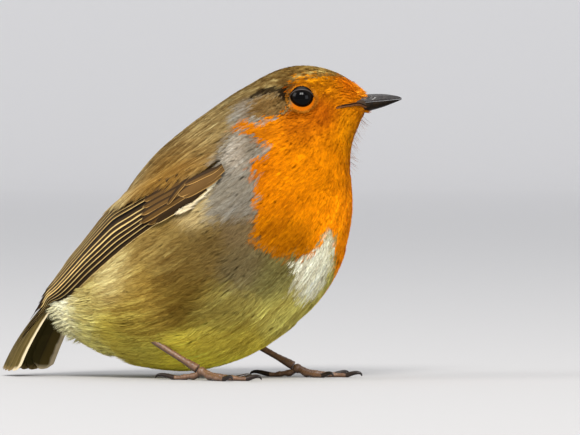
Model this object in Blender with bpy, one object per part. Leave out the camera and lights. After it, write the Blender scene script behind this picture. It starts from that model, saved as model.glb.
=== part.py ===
# A European robin, life size, at rest: body turned a little, head in profile, tail tip on the floor.
# Metres, +Z up. The bird faces +X and its left side is +Y. The floor is z = 0.
# Sizes below are in millimetres, and mm() turns them into metres.

import math

import bmesh
import bpy
import numpy as np
from mathutils import Matrix, Vector

MM = 0.001
GAP = 0.3            # clearance between neighbouring solids
RINGS_PER_STATION = 3
RING_POINTS = 26

# The plumage outline in profile. Each station is a slanting ring, from its point on the back
# (forward, height) to its point on the throat or belly (forward, height), with its half width.
# The two guides behind the vent only carry the folded wings.
BODY_STATIONS = [
    ("wing_tip_guide", (-53.0, 14.0), (-51.5, 11.0), 4.8),
    ("tail_cover_guide", (-47.0, 21.5), (-46.5, 16.5), 6.3),
    ("vent_end", (-41.0, 26.5), (-45.0, 16.3), 8.2),
    ("vent", (-36.5, 32.5), (-39.6, 10.9), 11.5),
    ("rump", (-31.5, 39.2), (-31.0, 6.5), 16.0),
    ("lower_back", (-26.5, 46.8), (-19.1, 3.6), 20.5),
    ("back", (-21.4, 54.7), (-5.7, 3.0), 24.0),
    ("mantle", (-15.0, 62.0), (7.0, 6.3), 25.2),
    ("shoulder", (-8.0, 67.7), (18.4, 12.8), 24.8),
    ("hind_neck", (-1.0, 72.7), (28.6, 21.6), 23.0),
    ("nape", (5.3, 76.8), (35.2, 32.4), 20.0),
    ("upper_nape", (10.6, 79.8), (38.1, 44.3), 16.0),
    ("hind_crown", (15.2, 82.4), (37.9, 55.2), 12.5),
    ("crown", (20.0, 84.3), (38.1, 62.0), 10.6),
    ("fore_crown", (24.9, 85.0), (39.5, 67.2), 9.1),
    ("forehead", (29.8, 84.5), (40.9, 70.2), 7.4),
    ("lores", (34.4, 83.0), (41.6, 71.5), 5.7),
    ("bill_feathers", (38.2, 80.8), (42.0, 72.0), 4.2),
    ("bill_root", (41.2, 78.4), (42.3, 72.5), 3.0),
]
FIRST_STATION = -2      # the guides have negative numbers, so station 0 is the end of the vent
LAST_STATION = FIRST_STATION + len(BODY_STATIONS) - 1
FULLNESS = 2.0          # 2 is an ellipse, and more is boxier
BELLY_SAG = 0.02        # how far the widest line lies below the middle of the trunk
CHEEK_SAG = 0.12        # the same for the head, whose cheeks are wider than its crown

# Where the body is divided, by station.
DIVISIONS = {
    "rump": (0.0, 2.5),
    "belly": (2.5, 5.4),
    "breast": (5.4, 7.7),
    "neck": (7.7, 9.6),
    "head": (9.6, 16.0),
}

HEAD_TURN = math.radians(20)    # to the left of the trunk
TURN_FROM, TURN_TO = 7.0, 11.0  # stations between which the neck twists
NECK_PIVOT = 20.3               # forward place of the neck's upright axis

EYE_RADIUS = 3.7
EYE_PLACE = (24.8, 6.15, 76.1)  # forward, to the side and up, before the head turns
EYE_HOLLOW = 0.1                # how much the face narrows around the eye

GAPE = 34.8                     # forward place of the corner of the mouth
# forward, height of the mouth line, rise of the upper bill, drop of the lower bill, half width
BILL_STATIONS = [
    (GAPE, 74.0, 0.45, 0.5, 4.8),
    (38.8, 75.1, 1.2, 2.0, 3.5),
    (42.6, 75.7, 1.5, 3.0, 2.55),
    (46.9, 76.0, 1.3, 2.3, 1.6),
    (49.4, 76.1, 0.95, 1.4, 1.0),
    (51.1, 76.15, 0.5, 0.65, 0.5),
    (51.9, 76.1, 0.15, 0.2, 0.18),
]

# A folded wing wraps the body guide: station, upper edge and lower edge in degrees from the back,
# and how proud of the body it stands.
WING_STATIONS = [
    (-1.95, 46, 87, 0.9),
    (-1.0, 24, 98, 1.8),
    (0.0, 14, 99, 2.8),
    (1.0, 10, 87, 3.1),
    (2.0, 9, 75, 2.8),
    (3.0, 16, 70.5, 2.4),
    (4.2, 34, 69.5, 2.4),
    (5.2, 44, 71, 2.4),
    (6.2, 49, 74, 2.2),
    (7.1, 57, 75, 1.5),
]
WING_RIM = 0.75         # how far the wing's edges stand off the plumage
COVERT_TIPS = 4.7       # the coverts lie in front of this station
ALULA_SHARE = 0.78      # the alula takes the lower part of the wing's width from here
SECONDARY_SHARE = 0.54  # the secondaries take the upper part of the wing's width to here
SECONDARY_ENDS = (1.6, -0.55)   # stations over which their tips run up to the upper edge
FLIGHT_STEP = 0.3       # how far each vane's lower edge stands over the next

TAIL_ROOT = (-27.0, 40.4)
TAIL_TIP = (-62.4, 0.2)
TAIL_HALF_WIDTHS = (5.0, 8.6)   # at the root and near the tip
TAIL_ARCH = 2.2                 # how far the outer feathers droop
TAIL_FEATHERS = 6               # each side of the middle
TAIL_STEP = 0.35
TAIL_THICKNESS = 1.1

# Each leg: where it leaves the belly, and the ball of its foot (forward, to the side, up).
LEGS = {
    "right": {"knee": (-19.6, -16.4, 15.2), "ball": (3.0, -17.8, 2.2), "aim": -8.0},
    "left": {"knee": (-4.2, 14.4, 14.8), "ball": (18.4, 15.6, 2.2), "aim": 4.0},
}
TARSUS_RADII = (1.25, 0.88, 1.2)    # heel, shank, above the foot
# name, degrees from the leg's aim (outwards is positive), length, claw length
TOES = [
    ("inner", -30, 9.6, 4.2),
    ("middle", 0, 13.6, 4.6),
    ("outer", 27, 10.2, 4.2),
    ("hind", 176, 8.2, 6.0),
]
TOE_RADII = (0.95, 0.62)
FOOT_SINK = 0.12        # how far a toe's underside is planed off to stand flat

PARTS = "robin"
HELPERS = "helpers"


# ---------------------------------------------------------------- small helpers

def mm(*values):
    return Vector(values) * MM


def make_collection(name):
    found = bpy.data.collections.new(name)
    bpy.context.scene.collection.children.link(found)
    return found


def material(name, colour, roughness, metallic=0.0):
    made = bpy.data.materials.new(name)
    made.use_nodes = True
    shader = made.node_tree.nodes["Principled BSDF"]
    shader.inputs["Base Color"].default_value = (*colour, 1.0)
    shader.inputs["Roughness"].default_value = roughness
    shader.inputs["Metallic"].default_value = metallic
    return made


def add_object(name, bm, finish=None, collection=PARTS, sharp=40):
    """Turns a bmesh into a smooth shaded object."""
    bmesh.ops.recalc_face_normals(bm, faces=bm.faces)
    mesh = bpy.data.meshes.new(name)
    bm.to_mesh(mesh)
    bm.free()
    if finish:
        mesh.materials.append(finish)
    mesh.shade_smooth()
    mesh.set_sharp_from_angle(angle=math.radians(sharp))
    made = bpy.data.objects.new(name, mesh)
    bpy.data.collections[collection].objects.link(made)
    if collection == HELPERS:
        made.hide_render = True
        made.display_type = "WIRE"
    return made


def cut(target, cutter, operation="DIFFERENCE"):
    modifier = target.modifiers.new(operation.title() + "_" + cutter.name, "BOOLEAN")
    modifier.object = cutter
    modifier.operation = operation
    modifier.solver = "EXACT"
    return modifier


def smooth_step(low, high, value):
    t = min(1.0, max(0.0, (value - low) / (high - low)))
    return t * t * (3 - 2 * t)


def spline(rows, at):
    """A smooth curve through evenly numbered rows, read at a fractional row number."""
    rows = np.asarray(rows, float)
    at = min(max(at, 0.0), len(rows) - 1.0)
    i = min(int(at), len(rows) - 2)
    t = at - i
    before = rows[i - 1] if i > 0 else 2 * rows[0] - rows[1]
    after = rows[i + 2] if i + 2 < len(rows) else 2 * rows[-1] - rows[-2]
    a, b = rows[i], rows[i + 1]
    return (
        a
        + 0.5 * t * (b - before)
        + t * t * (before - 2.5 * a + 2 * b - 0.5 * after)
        + 0.5 * t * t * t * (3 * a - before - 3 * b + after)
    )


def loft(bm, rings):
    """Skins closed rings of the same count and caps both ends."""
    made = [[bm.verts.new(point) for point in ring] for ring in rings]
    count = len(made[0])
    for first, second in zip(made, made[1:]):
        for i in range(count):
            j = (i + 1) % count
            bm.faces.new((first[i], first[j], second[j], second[i]))
    bm.faces.new(made[0])
    bm.faces.new(list(reversed(made[-1])))
    return made


# ---------------------------------------------------------------- plumage surface

def station(number):
    """Back point, belly point and half width of the body at a station, in mm."""
    rows = [(*back, *belly, width) for _, back, belly, width in BODY_STATIONS]
    return spline(rows, number - FIRST_STATION)


def turn_head(point, number):
    """Twists a point at a station to the left about the neck's upright axis."""
    angle = HEAD_TURN * smooth_step(TURN_FROM, TURN_TO, number)
    x, y, z = point
    x -= NECK_PIVOT
    return (
        NECK_PIVOT + x * math.cos(angle) - y * math.sin(angle),
        x * math.sin(angle) + y * math.cos(angle),
        z,
    )


def body_base_point(number, angle):
    """A point of the plumage: angle 0 is the back, 90 the left side and 180 the belly."""
    back_x, back_z, belly_x, belly_z, width = station(number)
    up = math.cos(angle)
    side = math.sin(angle)
    power = 2 / FULLNESS
    up_share = math.copysign(abs(up) ** power, up)
    side_share = math.copysign(abs(side) ** power, side)
    sag = (BELLY_SAG + (CHEEK_SAG - BELLY_SAG) * smooth_step(8, 11, number)) * side * side
    share = 0.5 * (1 - up_share) + sag
    x = back_x + (belly_x - back_x) * share
    z = back_z + (belly_z - back_z) * share
    eye_x, _, eye_z = EYE_PLACE
    from_eye = ((x - eye_x) ** 2 + (z - eye_z) ** 2) / 20
    hollow = 1 - EYE_HOLLOW * math.exp(-from_eye)
    return Vector(turn_head((x, width * side_share * hollow, z), number))


def body_point(number, angle, lift=0.0):
    """The same point raised off the plumage along its normal, all in mm."""
    point = body_base_point(number, angle)
    if lift == 0:
        return point
    along = body_base_point(number + 0.05, angle) - body_base_point(number - 0.05, angle)
    around = body_base_point(number, angle + 0.03) - body_base_point(number, angle - 0.03)
    normal = along.cross(around)
    normal.normalize()
    return point + normal * lift


def body_solid(name, first, last, lift=0.0, finish=None, collection=PARTS):
    """A closed length of the body between two stations."""
    steps = max(2, round((last - first) * RINGS_PER_STATION))
    rings = []
    for i in range(steps + 1):
        number = first + (last - first) * i / steps
        rings.append(
            [
                body_point(number, 2 * math.pi * k / RING_POINTS, lift) * MM
                for k in range(RING_POINTS)
            ]
        )
    bm = bmesh.new()
    loft(bm, rings)
    return add_object(name, bm, finish, collection)


def along_body(millimetres, number):
    """How many stations a distance in mm is, near a station."""
    near = body_base_point(number - 0.25, math.pi / 2)
    far = body_base_point(number + 0.25, math.pi / 2)
    return 0.5 * millimetres / (far - near).length


# ---------------------------------------------------------------- head

def head_place(forward, side, height):
    return Vector(turn_head((forward, side, height), LAST_STATION))


def add_eye(name, side, finish):
    forward, out, height = EYE_PLACE
    bm = bmesh.new()
    place = head_place(forward, side * out, height) * MM
    turned = Matrix.Translation(place) @ Matrix.Rotation(HEAD_TURN, 4, "Z")
    turned = turned @ Matrix.Rotation(math.radians(90), 4, "X")
    bmesh.ops.create_uvsphere(
        bm, u_segments=16, v_segments=10, radius=EYE_RADIUS * MM, matrix=turned
    )
    return add_object(name, bm, finish)


def eye_socket(name, side):
    forward, out, height = EYE_PLACE
    bm = bmesh.new()
    place = head_place(forward, side * out, height) * MM
    bmesh.ops.create_uvsphere(
        bm,
        u_segments=16,
        v_segments=8,
        radius=(EYE_RADIUS + GAP) * MM,
        matrix=Matrix.Translation(place),
    )
    return add_object(name, bm, collection=HELPERS)


def bill_solid(name, upper, finish=None, grow=0.0, collection=PARTS):
    """One half of the bill: a half round section on the mouth line, wide at the gape."""
    arc = 8
    rings = []
    steps = 9
    for i in range(steps + 1):
        x, line, rise, drop, width = spline(BILL_STATIONS, (len(BILL_STATIONS) - 1) * i / steps)
        x += -grow if i == 0 else 0.0
        reach = (rise if upper else drop) + grow
        width += grow
        ring = []
        for k in range(arc + 1):
            angle = math.pi * k / arc
            y = width * math.cos(angle)
            z = reach * math.sin(angle) ** 0.8 + GAP / 2
            ring.append((y, z))
        if grow:
            ring += [(-width, -grow), (width, -grow)]
        sign = 1 if upper else -1
        rings.append([head_place(x, y, line + sign * z) * MM for y, z in ring])
    bm = bmesh.new()
    loft(bm, rings)
    return add_object(name, bm, finish, collection, sharp=30)


# ---------------------------------------------------------------- wings and tail

def wing_row(number):
    """Upper edge, lower edge in degrees and proudness of the wing at a body station."""
    numbers = [row[0] for row in WING_STATIONS]
    i = 0
    while i < len(numbers) - 2 and number > numbers[i + 1]:
        i += 1
    row = i + (number - numbers[i]) / (numbers[i + 1] - numbers[i])
    return spline([row[1:] for row in WING_STATIONS], row)


def wing_point(side, number, share, height):
    """A point over the wing: share 0 is its upper edge and share 1 its lower edge."""
    upper, lower, _ = wing_row(number)
    return body_point(number, side * math.radians(upper + (lower - upper) * share), height)


def gap_share(number):
    """Half a clearance as a share of the wing's width."""
    across = wing_point(1, number, 0.25, 0) - wing_point(1, number, 0.75, 0)
    return 0.25 * GAP / across.length


def secondary_edge(number):
    """The share of the wing's width where the secondaries give way to the primaries."""
    first, last = SECONDARY_ENDS
    return SECONDARY_SHARE * min(1.0, max(0.0, (number - last) / (first - last)))


def wing_part(name, side, finish, span, low_edge, high_edge, vanes, extra=0.0, steps=9):
    """A length of the folded wing between two stations and two edges, each a function of the
    station. It is a shell whose outer face swells from thin rims, and each vane's lower edge
    stands over the next vane."""
    first, last = span
    rings = []
    for i in range(steps + 1):
        number = first + (last - first) * i / steps
        low, high = low_edge(number), high_edge(number)
        lift = wing_row(number)[2] + extra
        if vanes > 1:
            pairs = [(0.0, 0.0)]
            for k in range(1, vanes):
                pairs += [(k / vanes - 0.01, 0.0), (k / vanes + 0.01, 1.0)]
            pairs.append((1.0, 0.0))
        else:
            pairs = [(k / 6, 0.0) for k in range(7)]
        outer, inside = [], []
        for u, step in pairs:
            share = low + (high - low) * u
            swell = 1 - (2 * share - 1) ** 6
            height = WING_RIM + (lift - WING_RIM) * swell - FLIGHT_STEP * step * swell
            depth = -1.6 if number > 0.4 else 0.0
            outer.append(wing_point(side, number, share, height) * MM)
            inside.append(wing_point(side, number, share, depth) * MM)
        rings.append(outer + inside[::-1])
    bm = bmesh.new()
    loft(bm, rings)
    return add_object(name, bm, finish, sharp=25)


def add_wing(side_name, side, finishes, cutter):
    """The folded wing: coverts in front with the alula below them, then the flight feathers."""
    tip, bend = WING_STATIONS[0][0], WING_STATIONS[-1][0]
    seam = along_body(GAP / 2, COVERT_TIPS)

    def whole_low(number):
        return 0.0

    def whole_high(number):
        return 1.0

    def covert_high(number):
        return ALULA_SHARE - gap_share(number)

    def alula_low(number):
        return ALULA_SHARE + gap_share(number)

    def secondary_high(number):
        return secondary_edge(number) - gap_share(number)

    def primary_low(number):
        return secondary_edge(number) + gap_share(number)

    prefix = "wing_" + side_name + "_"
    parts = [
        wing_part(prefix + "coverts", side, finishes["covert"], (COVERT_TIPS + seam, bend),
                  whole_low, covert_high, 3, 0.35, 5),
        wing_part(prefix + "alula", side, finishes["covert"], (COVERT_TIPS + seam, bend),
                  alula_low, whole_high, 2, 0.35, 5),
        wing_part(prefix + "secondaries", side, finishes["flight"], (-0.3, COVERT_TIPS - seam),
                  whole_low, secondary_high, 5, steps=6),
        wing_part(prefix + "primaries", side, finishes["flight"], (tip, COVERT_TIPS - seam),
                  primary_low, whole_high, 5, steps=9),
    ]
    for made in parts:
        cut(made, cutter)
    return parts


def add_tail(name, finish):
    """The closed tail: an arched blade of overlapping feathers with a scalloped, faintly notched end."""
    root, tip = Vector((TAIL_ROOT[0], 0, TAIL_ROOT[1])), Vector((TAIL_TIP[0], 0, TAIL_TIP[1]))
    along = (tip - root).normalized()
    top = Vector((along.z, 0, -along.x))
    length = (tip - root).length
    columns = TAIL_FEATHERS * 2 * 3
    rows = 6
    upper, under = [], []
    for i in range(rows + 1):
        t = i / rows
        half = TAIL_HALF_WIDTHS[0] + (TAIL_HALF_WIDTHS[1] - TAIL_HALF_WIDTHS[0]) * math.sin(t * math.pi / 2)
        line_up, line_down = [], []
        for k in range(columns + 1):
            v = 2 * k / columns - 1
            in_feather = abs(v) * TAIL_FEATHERS % 1.0
            round_end = 1.6 * (2 * in_feather - 1) ** 2 * smooth_step(0.6, 1.0, t)
            notch = 1.2 * (1 - abs(v)) * t
            reach = length * t - round_end - notch - 1.0 * abs(v) ** 4 * t
            arch = TAIL_ARCH * v * v
            point = root + along * reach + Vector((0, half * v, 0)) - top * arch
            step = TAIL_STEP * in_feather if abs(v) < 1 else 0
            thick = TAIL_THICKNESS * (1 - 0.35 * t) * (1 - 0.3 * abs(v))
            line_up.append(point + top * (0.5 * thick - step))
            line_down.append(point - top * 0.5 * thick - top * step)
        upper.append(line_up)
        under.append(line_down)
    rings = [[p * MM for p in a + b[::-1]] for a, b in zip(upper, under)]
    bm = bmesh.new()
    loft(bm, rings)
    plane_off(bm, 0.0)
    return add_object(name, bm, finish, sharp=25)


# ---------------------------------------------------------------- legs

def plane_off(bm, height):
    """Cuts a closed mesh flat at a height and closes it, so that it stands on a true flat."""
    geometry = bm.verts[:] + bm.edges[:] + bm.faces[:]
    bmesh.ops.bisect_plane(
        bm, geom=geometry, plane_co=(0, 0, height * MM), plane_no=(0, 0, -1), clear_outer=True
    )
    open_edges = [edge for edge in bm.edges if edge.is_boundary]
    if open_edges:
        bmesh.ops.holes_fill(bm, edges=open_edges, sides=0)


def tube(bm, centres, radii, sides=10, flatten=1.0):
    """A tapered tube through points in mm."""
    rings = []
    for i, centre in enumerate(centres):
        before = centres[max(i - 1, 0)]
        after = centres[min(i + 1, len(centres) - 1)]
        forward = (after - before).normalized()
        side = Vector((0, 0, 1)).cross(forward)
        side = side.normalized() if side.length > 1e-6 else Vector((0, 1, 0))
        up = forward.cross(side)
        ring = []
        for k in range(sides):
            angle = 2 * math.pi * k / sides
            out = side * math.cos(angle) + up * math.sin(angle) * flatten
            ring.append((centre + out * radii[i]) * MM)
        rings.append(ring)
    return loft(bm, rings)


def toe_path(ball, heading, length):
    """Centres and radii of a toe: down from the ball, then along the floor with three low pads."""
    thick, thin = TOE_RADII
    away = Vector((math.cos(heading), math.sin(heading), 0))
    centres, radii = [], []
    steps = 9
    for i in range(steps + 1):
        t = i / steps
        radius = thick + (thin - thick) * t
        pads = 0.1 * math.cos(3 * 2 * math.pi * t)
        arch = 0.5 * math.sin(math.pi * min(1.0, 1.15 * t)) ** 2 * (1 - t)
        drop = (ball.z - radius) * (1 - smooth_step(0.0, 0.34, t))
        centre = ball + away * length * t
        centre.z = radius - FOOT_SINK + drop + arch
        centres.append(centre)
        radii.append(radius + pads)
    return centres, radii


def claw_path(start, heading, length, radius):
    """A claw: a tapered arc that rises a little and comes down to a point just over the floor."""
    away = Vector((math.cos(heading), math.sin(heading), 0))
    centres, radii = [], []
    steps = 5
    for i in range(steps + 1):
        t = i / steps
        centre = start + away * length * 0.92 * math.sin(t * math.pi / 2) ** 0.9
        centre.z = start.z + 0.9 * math.sin(math.pi * t * 0.92) - (start.z - 0.18) * t * t
        centres.append(centre)
        radii.append(radius * (1 - t) ** 0.75 + 0.12)
    return centres, radii


def add_leg(side_name, finishes, cutter):
    leg = LEGS[side_name]
    knee, ball = Vector(leg["knee"]), Vector(leg["ball"])
    outward = -1 if side_name == "right" else 1

    shank = []
    radii = []
    steps = 8
    for i in range(steps + 1):
        t = i / steps
        shank.append(knee.lerp(ball + Vector((-1.5, 0, 0.9)), t))
        heel, middle, foot_end = TARSUS_RADII
        radius = middle + (heel - middle) * (1 - smooth_step(0, 0.3, t))
        radii.append(radius + (foot_end - middle) * smooth_step(0.75, 1.0, t))
    bm = bmesh.new()
    tube(bm, shank, radii, sides=9)
    tarsus = add_object("tarsus_" + side_name, bm, finishes["leg"])
    cut(tarsus, cutter)

    foot = None
    pieces = []
    for name, spread, length, claw in TOES:
        heading = math.radians(leg["aim"] + outward * spread)
        centres, toe_radii = toe_path(ball, heading, length)
        bm = bmesh.new()
        tube(bm, centres, toe_radii, sides=6)
        plane_off(bm, 0.0)
        if foot is None:
            foot = add_object("foot_" + side_name, bm, finishes["leg"])
        else:
            pieces.append(add_object("toe_" + name + "_" + side_name, bm, collection=HELPERS))
        away = Vector((math.cos(heading), math.sin(heading), 0))
        start = centres[-1] + away * GAP
        claw_centres, claw_radii = claw_path(start, heading, claw, TOE_RADII[1] * 0.85)
        bm = bmesh.new()
        tube(bm, claw_centres, claw_radii, sides=6)
        plane_off(bm, 0.0)
        add_object("claw_" + name + "_" + side_name, bm, finishes["claw"])
    bm = bmesh.new()
    bmesh.ops.create_uvsphere(
        bm,
        u_segments=10,
        v_segments=6,
        radius=1.35 * MM,
        matrix=Matrix.Translation((ball + Vector((-0.2, 0, 0.1))) * MM),
    )
    pieces.append(add_object("ball_" + side_name, bm, collection=HELPERS))
    for piece in pieces:
        cut(foot, piece, "UNION")
    return tarsus, foot


def add_thigh(side_name, finish, cutter):
    """The feathered thigh shows only as a low tuft where the leg leaves the belly."""
    leg = LEGS[side_name]
    knee, ball = Vector(leg["knee"]), Vector(leg["ball"])
    centres, radii = [], []
    steps = 10
    for i in range(steps + 1):
        t = i / steps
        centres.append(knee.lerp(ball, -0.08 + 0.5 * t) + Vector((0, 0, 0.5)))
        radii.append(0.5 + 3.3 * math.sin(math.pi * (0.12 + 0.85 * t)) ** 0.8)
    bm = bmesh.new()
    tube(bm, centres, radii, sides=14)
    thigh = add_object("thigh_" + side_name, bm, finish)
    cut(thigh, cutter)
    return thigh


# ---------------------------------------------------------------- build

def centre_on_floor():
    """Moves everything so that the middle of the bird's box stands on the origin."""
    bpy.context.view_layer.update()
    graph = bpy.context.evaluated_depsgraph_get()
    corners = []
    for part in bpy.data.collections[PARTS].objects:
        shown = part.evaluated_get(graph)
        corners += [shown.matrix_world @ Vector(corner) for corner in shown.bound_box]
    xs = [corner.x for corner in corners]
    ys = [corner.y for corner in corners]
    stand = bpy.data.objects.new("stance", None)
    bpy.context.scene.collection.objects.link(stand)
    for made in list(bpy.data.objects):
        if made is not stand:
            made.parent = stand
    stand.location = (-(min(xs) + max(xs)) / 2, -(min(ys) + max(ys)) / 2, 0)


def main():
    for old in list(bpy.data.objects):
        bpy.data.objects.remove(old)
    make_collection(PARTS)
    make_collection(HELPERS)

    olive = material("olive_plumage", (0.21, 0.15, 0.07), 0.85)
    orange = material("orange_plumage", (0.80, 0.25, 0.02), 0.85)
    buff = material("buff_plumage", (0.42, 0.36, 0.18), 0.85)
    brown = material("flight_feathers", (0.14, 0.095, 0.05), 0.7)
    horn = material("bill_horn", (0.04, 0.035, 0.03), 0.35)
    black = material("eye_black", (0.004, 0.003, 0.003), 0.05)
    leg = material("leg_skin", (0.25, 0.13, 0.09), 0.55)
    claw = material("claw_horn", (0.05, 0.035, 0.03), 0.4)

    finishes = {"rump": buff, "belly": buff, "breast": orange, "neck": orange, "head": orange}
    body = {}
    for name, (first, last) in DIVISIONS.items():
        start = first + (along_body(GAP / 2, first) if first > 0 else 0)
        end = last - (along_body(GAP / 2, last) if last < LAST_STATION else 0)
        body[name] = body_solid(name, start, end, finish=finishes[name])
    clearance = body_solid("body_clearance", -0.04, LAST_STATION, GAP, collection=HELPERS)

    for side_name, side in (("right", -1), ("left", 1)):
        add_eye("eye_" + side_name, side, black)
        cut(body["head"], eye_socket("socket_" + side_name, side))
    bill_solid("bill_upper", True, horn)
    bill_solid("bill_lower", False, horn)
    for upper in (True, False):
        cutter = bill_solid(
            "bill_room_" + ("upper" if upper else "lower"), upper, grow=GAP, collection=HELPERS
        )
        cut(body["head"], cutter)

    for side_name, side in (("right", -1), ("left", 1)):
        add_leg(side_name, {"leg": leg, "claw": claw}, clearance)
        add_wing(side_name, side, {"covert": olive, "flight": brown}, clearance)

    cut(add_tail("tail", brown), clearance)
    centre_on_floor()


main()
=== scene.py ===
import math

import bpy
import numpy as np
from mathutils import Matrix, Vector
from mathutils.kdtree import KDTree


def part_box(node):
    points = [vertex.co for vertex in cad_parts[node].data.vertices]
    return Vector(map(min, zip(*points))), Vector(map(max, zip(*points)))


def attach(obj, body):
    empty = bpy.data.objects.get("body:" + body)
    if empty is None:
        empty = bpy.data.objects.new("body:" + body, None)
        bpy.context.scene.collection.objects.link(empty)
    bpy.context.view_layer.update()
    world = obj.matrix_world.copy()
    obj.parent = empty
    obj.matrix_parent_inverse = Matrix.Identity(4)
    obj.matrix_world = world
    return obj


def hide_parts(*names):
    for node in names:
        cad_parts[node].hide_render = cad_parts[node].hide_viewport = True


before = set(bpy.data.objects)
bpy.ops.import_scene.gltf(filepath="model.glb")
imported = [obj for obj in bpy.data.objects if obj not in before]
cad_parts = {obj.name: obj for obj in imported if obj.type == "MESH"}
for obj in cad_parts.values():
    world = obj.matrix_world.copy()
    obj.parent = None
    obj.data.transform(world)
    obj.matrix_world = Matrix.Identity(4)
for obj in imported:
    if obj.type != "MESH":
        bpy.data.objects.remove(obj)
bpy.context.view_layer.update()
scene = bpy.context.scene
mm = 0.001
draw = np.random.default_rng(11)    # every random number comes from here, in order
print("robin: the packed body is loaded")


# Lengths are in millimetres in the bird's own place, and toWorld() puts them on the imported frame.

def unit(vectors):
    return vectors / np.maximum(np.linalg.norm(vectors, axis=-1, keepdims=True), 1e-9)


def smooth(low, high, value):
    t = np.clip((value - low) / (high - low), 0, 1)
    return t * t * (3 - 2 * t)


def readSpline(rows, at):
    rows = np.asarray(rows, float)
    padded = np.vstack([2 * rows[0] - rows[1], rows, 2 * rows[-1] - rows[-2]])
    at = np.clip(np.asarray(at, float), 0, len(rows) - 1)
    i = np.minimum(at.astype(int), len(rows) - 2)
    t = (at - i)[..., None]
    before, a, b, after = (padded[i + k] for k in range(4))
    return (a + 0.5 * t * (b - before) + t * t * (before - 2.5 * a + 2 * b - 0.5 * after)
            + 0.5 * t ** 3 * (3 * a - before - 3 * b + after))


def srgb(red, green, blue):
    values = np.array([red, green, blue]) / 255
    return np.where(values <= 0.04045, values / 12.92, ((values + 0.055) / 1.055) ** 2.4)


# The body's form, the same as the solids: slanting rings from the tail to the bill

bodyShape = {
    "firstRing": -2,
    # back (forward, height), belly (forward, height), half width
    "rings": [
        (-53.0, 14.0, -51.5, 11.0, 4.8), (-47.0, 21.5, -46.5, 16.5, 6.3),
        (-41.0, 26.5, -45.0, 16.3, 8.2), (-36.5, 32.5, -39.6, 10.9, 11.5),
        (-31.5, 39.2, -31.0, 6.5, 16.0), (-26.5, 46.8, -19.1, 3.6, 20.5),
        (-21.4, 54.7, -5.7, 3.0, 24.0), (-15.0, 62.0, 7.0, 6.3, 25.2),
        (-8.0, 67.7, 18.4, 12.8, 24.8), (-1.0, 72.7, 28.6, 21.6, 23.0),
        (5.3, 76.8, 35.2, 32.4, 20.0), (10.6, 79.8, 38.1, 44.3, 16.0),
        (15.2, 82.4, 37.9, 55.2, 12.5), (20.0, 84.3, 38.1, 62.0, 10.6),
        (24.9, 85.0, 39.5, 67.2, 9.1), (29.8, 84.5, 40.9, 70.2, 7.4),
        (34.4, 83.0, 41.6, 71.5, 5.7), (38.2, 80.8, 42.0, 72.0, 4.2),
        (41.2, 78.4, 42.3, 72.5, 3.0),
    ],
    "bellySag": 0.02,
    "cheekSag": 0.12,
    "cheekFrom": 8,
    "cheekTo": 11,
    "headTurn": 20.0,               # degrees to the left of the trunk
    "turnFrom": 7.0,
    "turnTo": 11.0,
    "neckPivot": 20.3,
    "eyePlace": (24.8, 6.15, 76.1),
    "eyeRadius": 3.7,
    "eyeHollow": 0.1,
    "eyeHollowArea": 20,            # square mm over which the hollow fades
}
firstStation = bodyShape["firstRing"]
lastStation = firstStation + len(bodyShape["rings"]) - 1


def turnHead(points, station):
    angle = math.radians(bodyShape["headTurn"]) * smooth(
        bodyShape["turnFrom"], bodyShape["turnTo"], np.asarray(station, float))
    x = points[..., 0] - bodyShape["neckPivot"]
    y = points[..., 1]
    return np.stack([
        bodyShape["neckPivot"] + x * np.cos(angle) - y * np.sin(angle),
        x * np.sin(angle) + y * np.cos(angle),
        points[..., 2] + 0 * angle], axis=-1)


def headPlace(forward, side, height):
    points = np.stack(np.broadcast_arrays(
        np.asarray(forward, float), np.asarray(side, float), np.asarray(height, float)), axis=-1)
    return turnHead(points, np.full(points.shape[:-1], lastStation))


# A place on the plumage is a station and a turn: 0 degrees is the back, 90 the right side,
# 180 the belly and 270 the left side.

def plumagePoint(station, turn):
    row = readSpline(bodyShape["rings"], station - firstStation)
    up, side = np.cos(np.radians(turn)), -np.sin(np.radians(turn))
    cheek = smooth(bodyShape["cheekFrom"], bodyShape["cheekTo"], station)
    sag = bodyShape["bellySag"] + (bodyShape["cheekSag"] - bodyShape["bellySag"]) * cheek
    share = 0.5 * (1 - up) + sag * side * side
    x = row[..., 0] + (row[..., 2] - row[..., 0]) * share
    z = row[..., 1] + (row[..., 3] - row[..., 1]) * share
    eyeX, _, eyeZ = bodyShape["eyePlace"]
    fromEye = ((x - eyeX) ** 2 + (z - eyeZ) ** 2) / bodyShape["eyeHollowArea"]
    y = row[..., 4] * side * (1 - bodyShape["eyeHollow"] * np.exp(-fromEye))
    return turnHead(np.stack([x, y, z], axis=-1), station)


def makeSurface(rows=541, columns=361):
    stations, turns = np.meshgrid(
        np.linspace(firstStation, lastStation, rows), np.linspace(0, 360, columns), indexing="ij")
    place = plumagePoint(stations, turns)
    along = (plumagePoint(stations + 0.03, turns) - plumagePoint(stations - 0.03, turns)) / 0.06
    around = (plumagePoint(stations, turns + 1) - plumagePoint(stations, turns - 1)) / 2
    edge = (stations < firstStation + 0.03) | (stations > lastStation - 0.03)
    along[edge] *= 2
    out = unit(np.cross(around, along))
    return np.concatenate([place, out, along, around], axis=-1)


surface = makeSurface()


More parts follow.
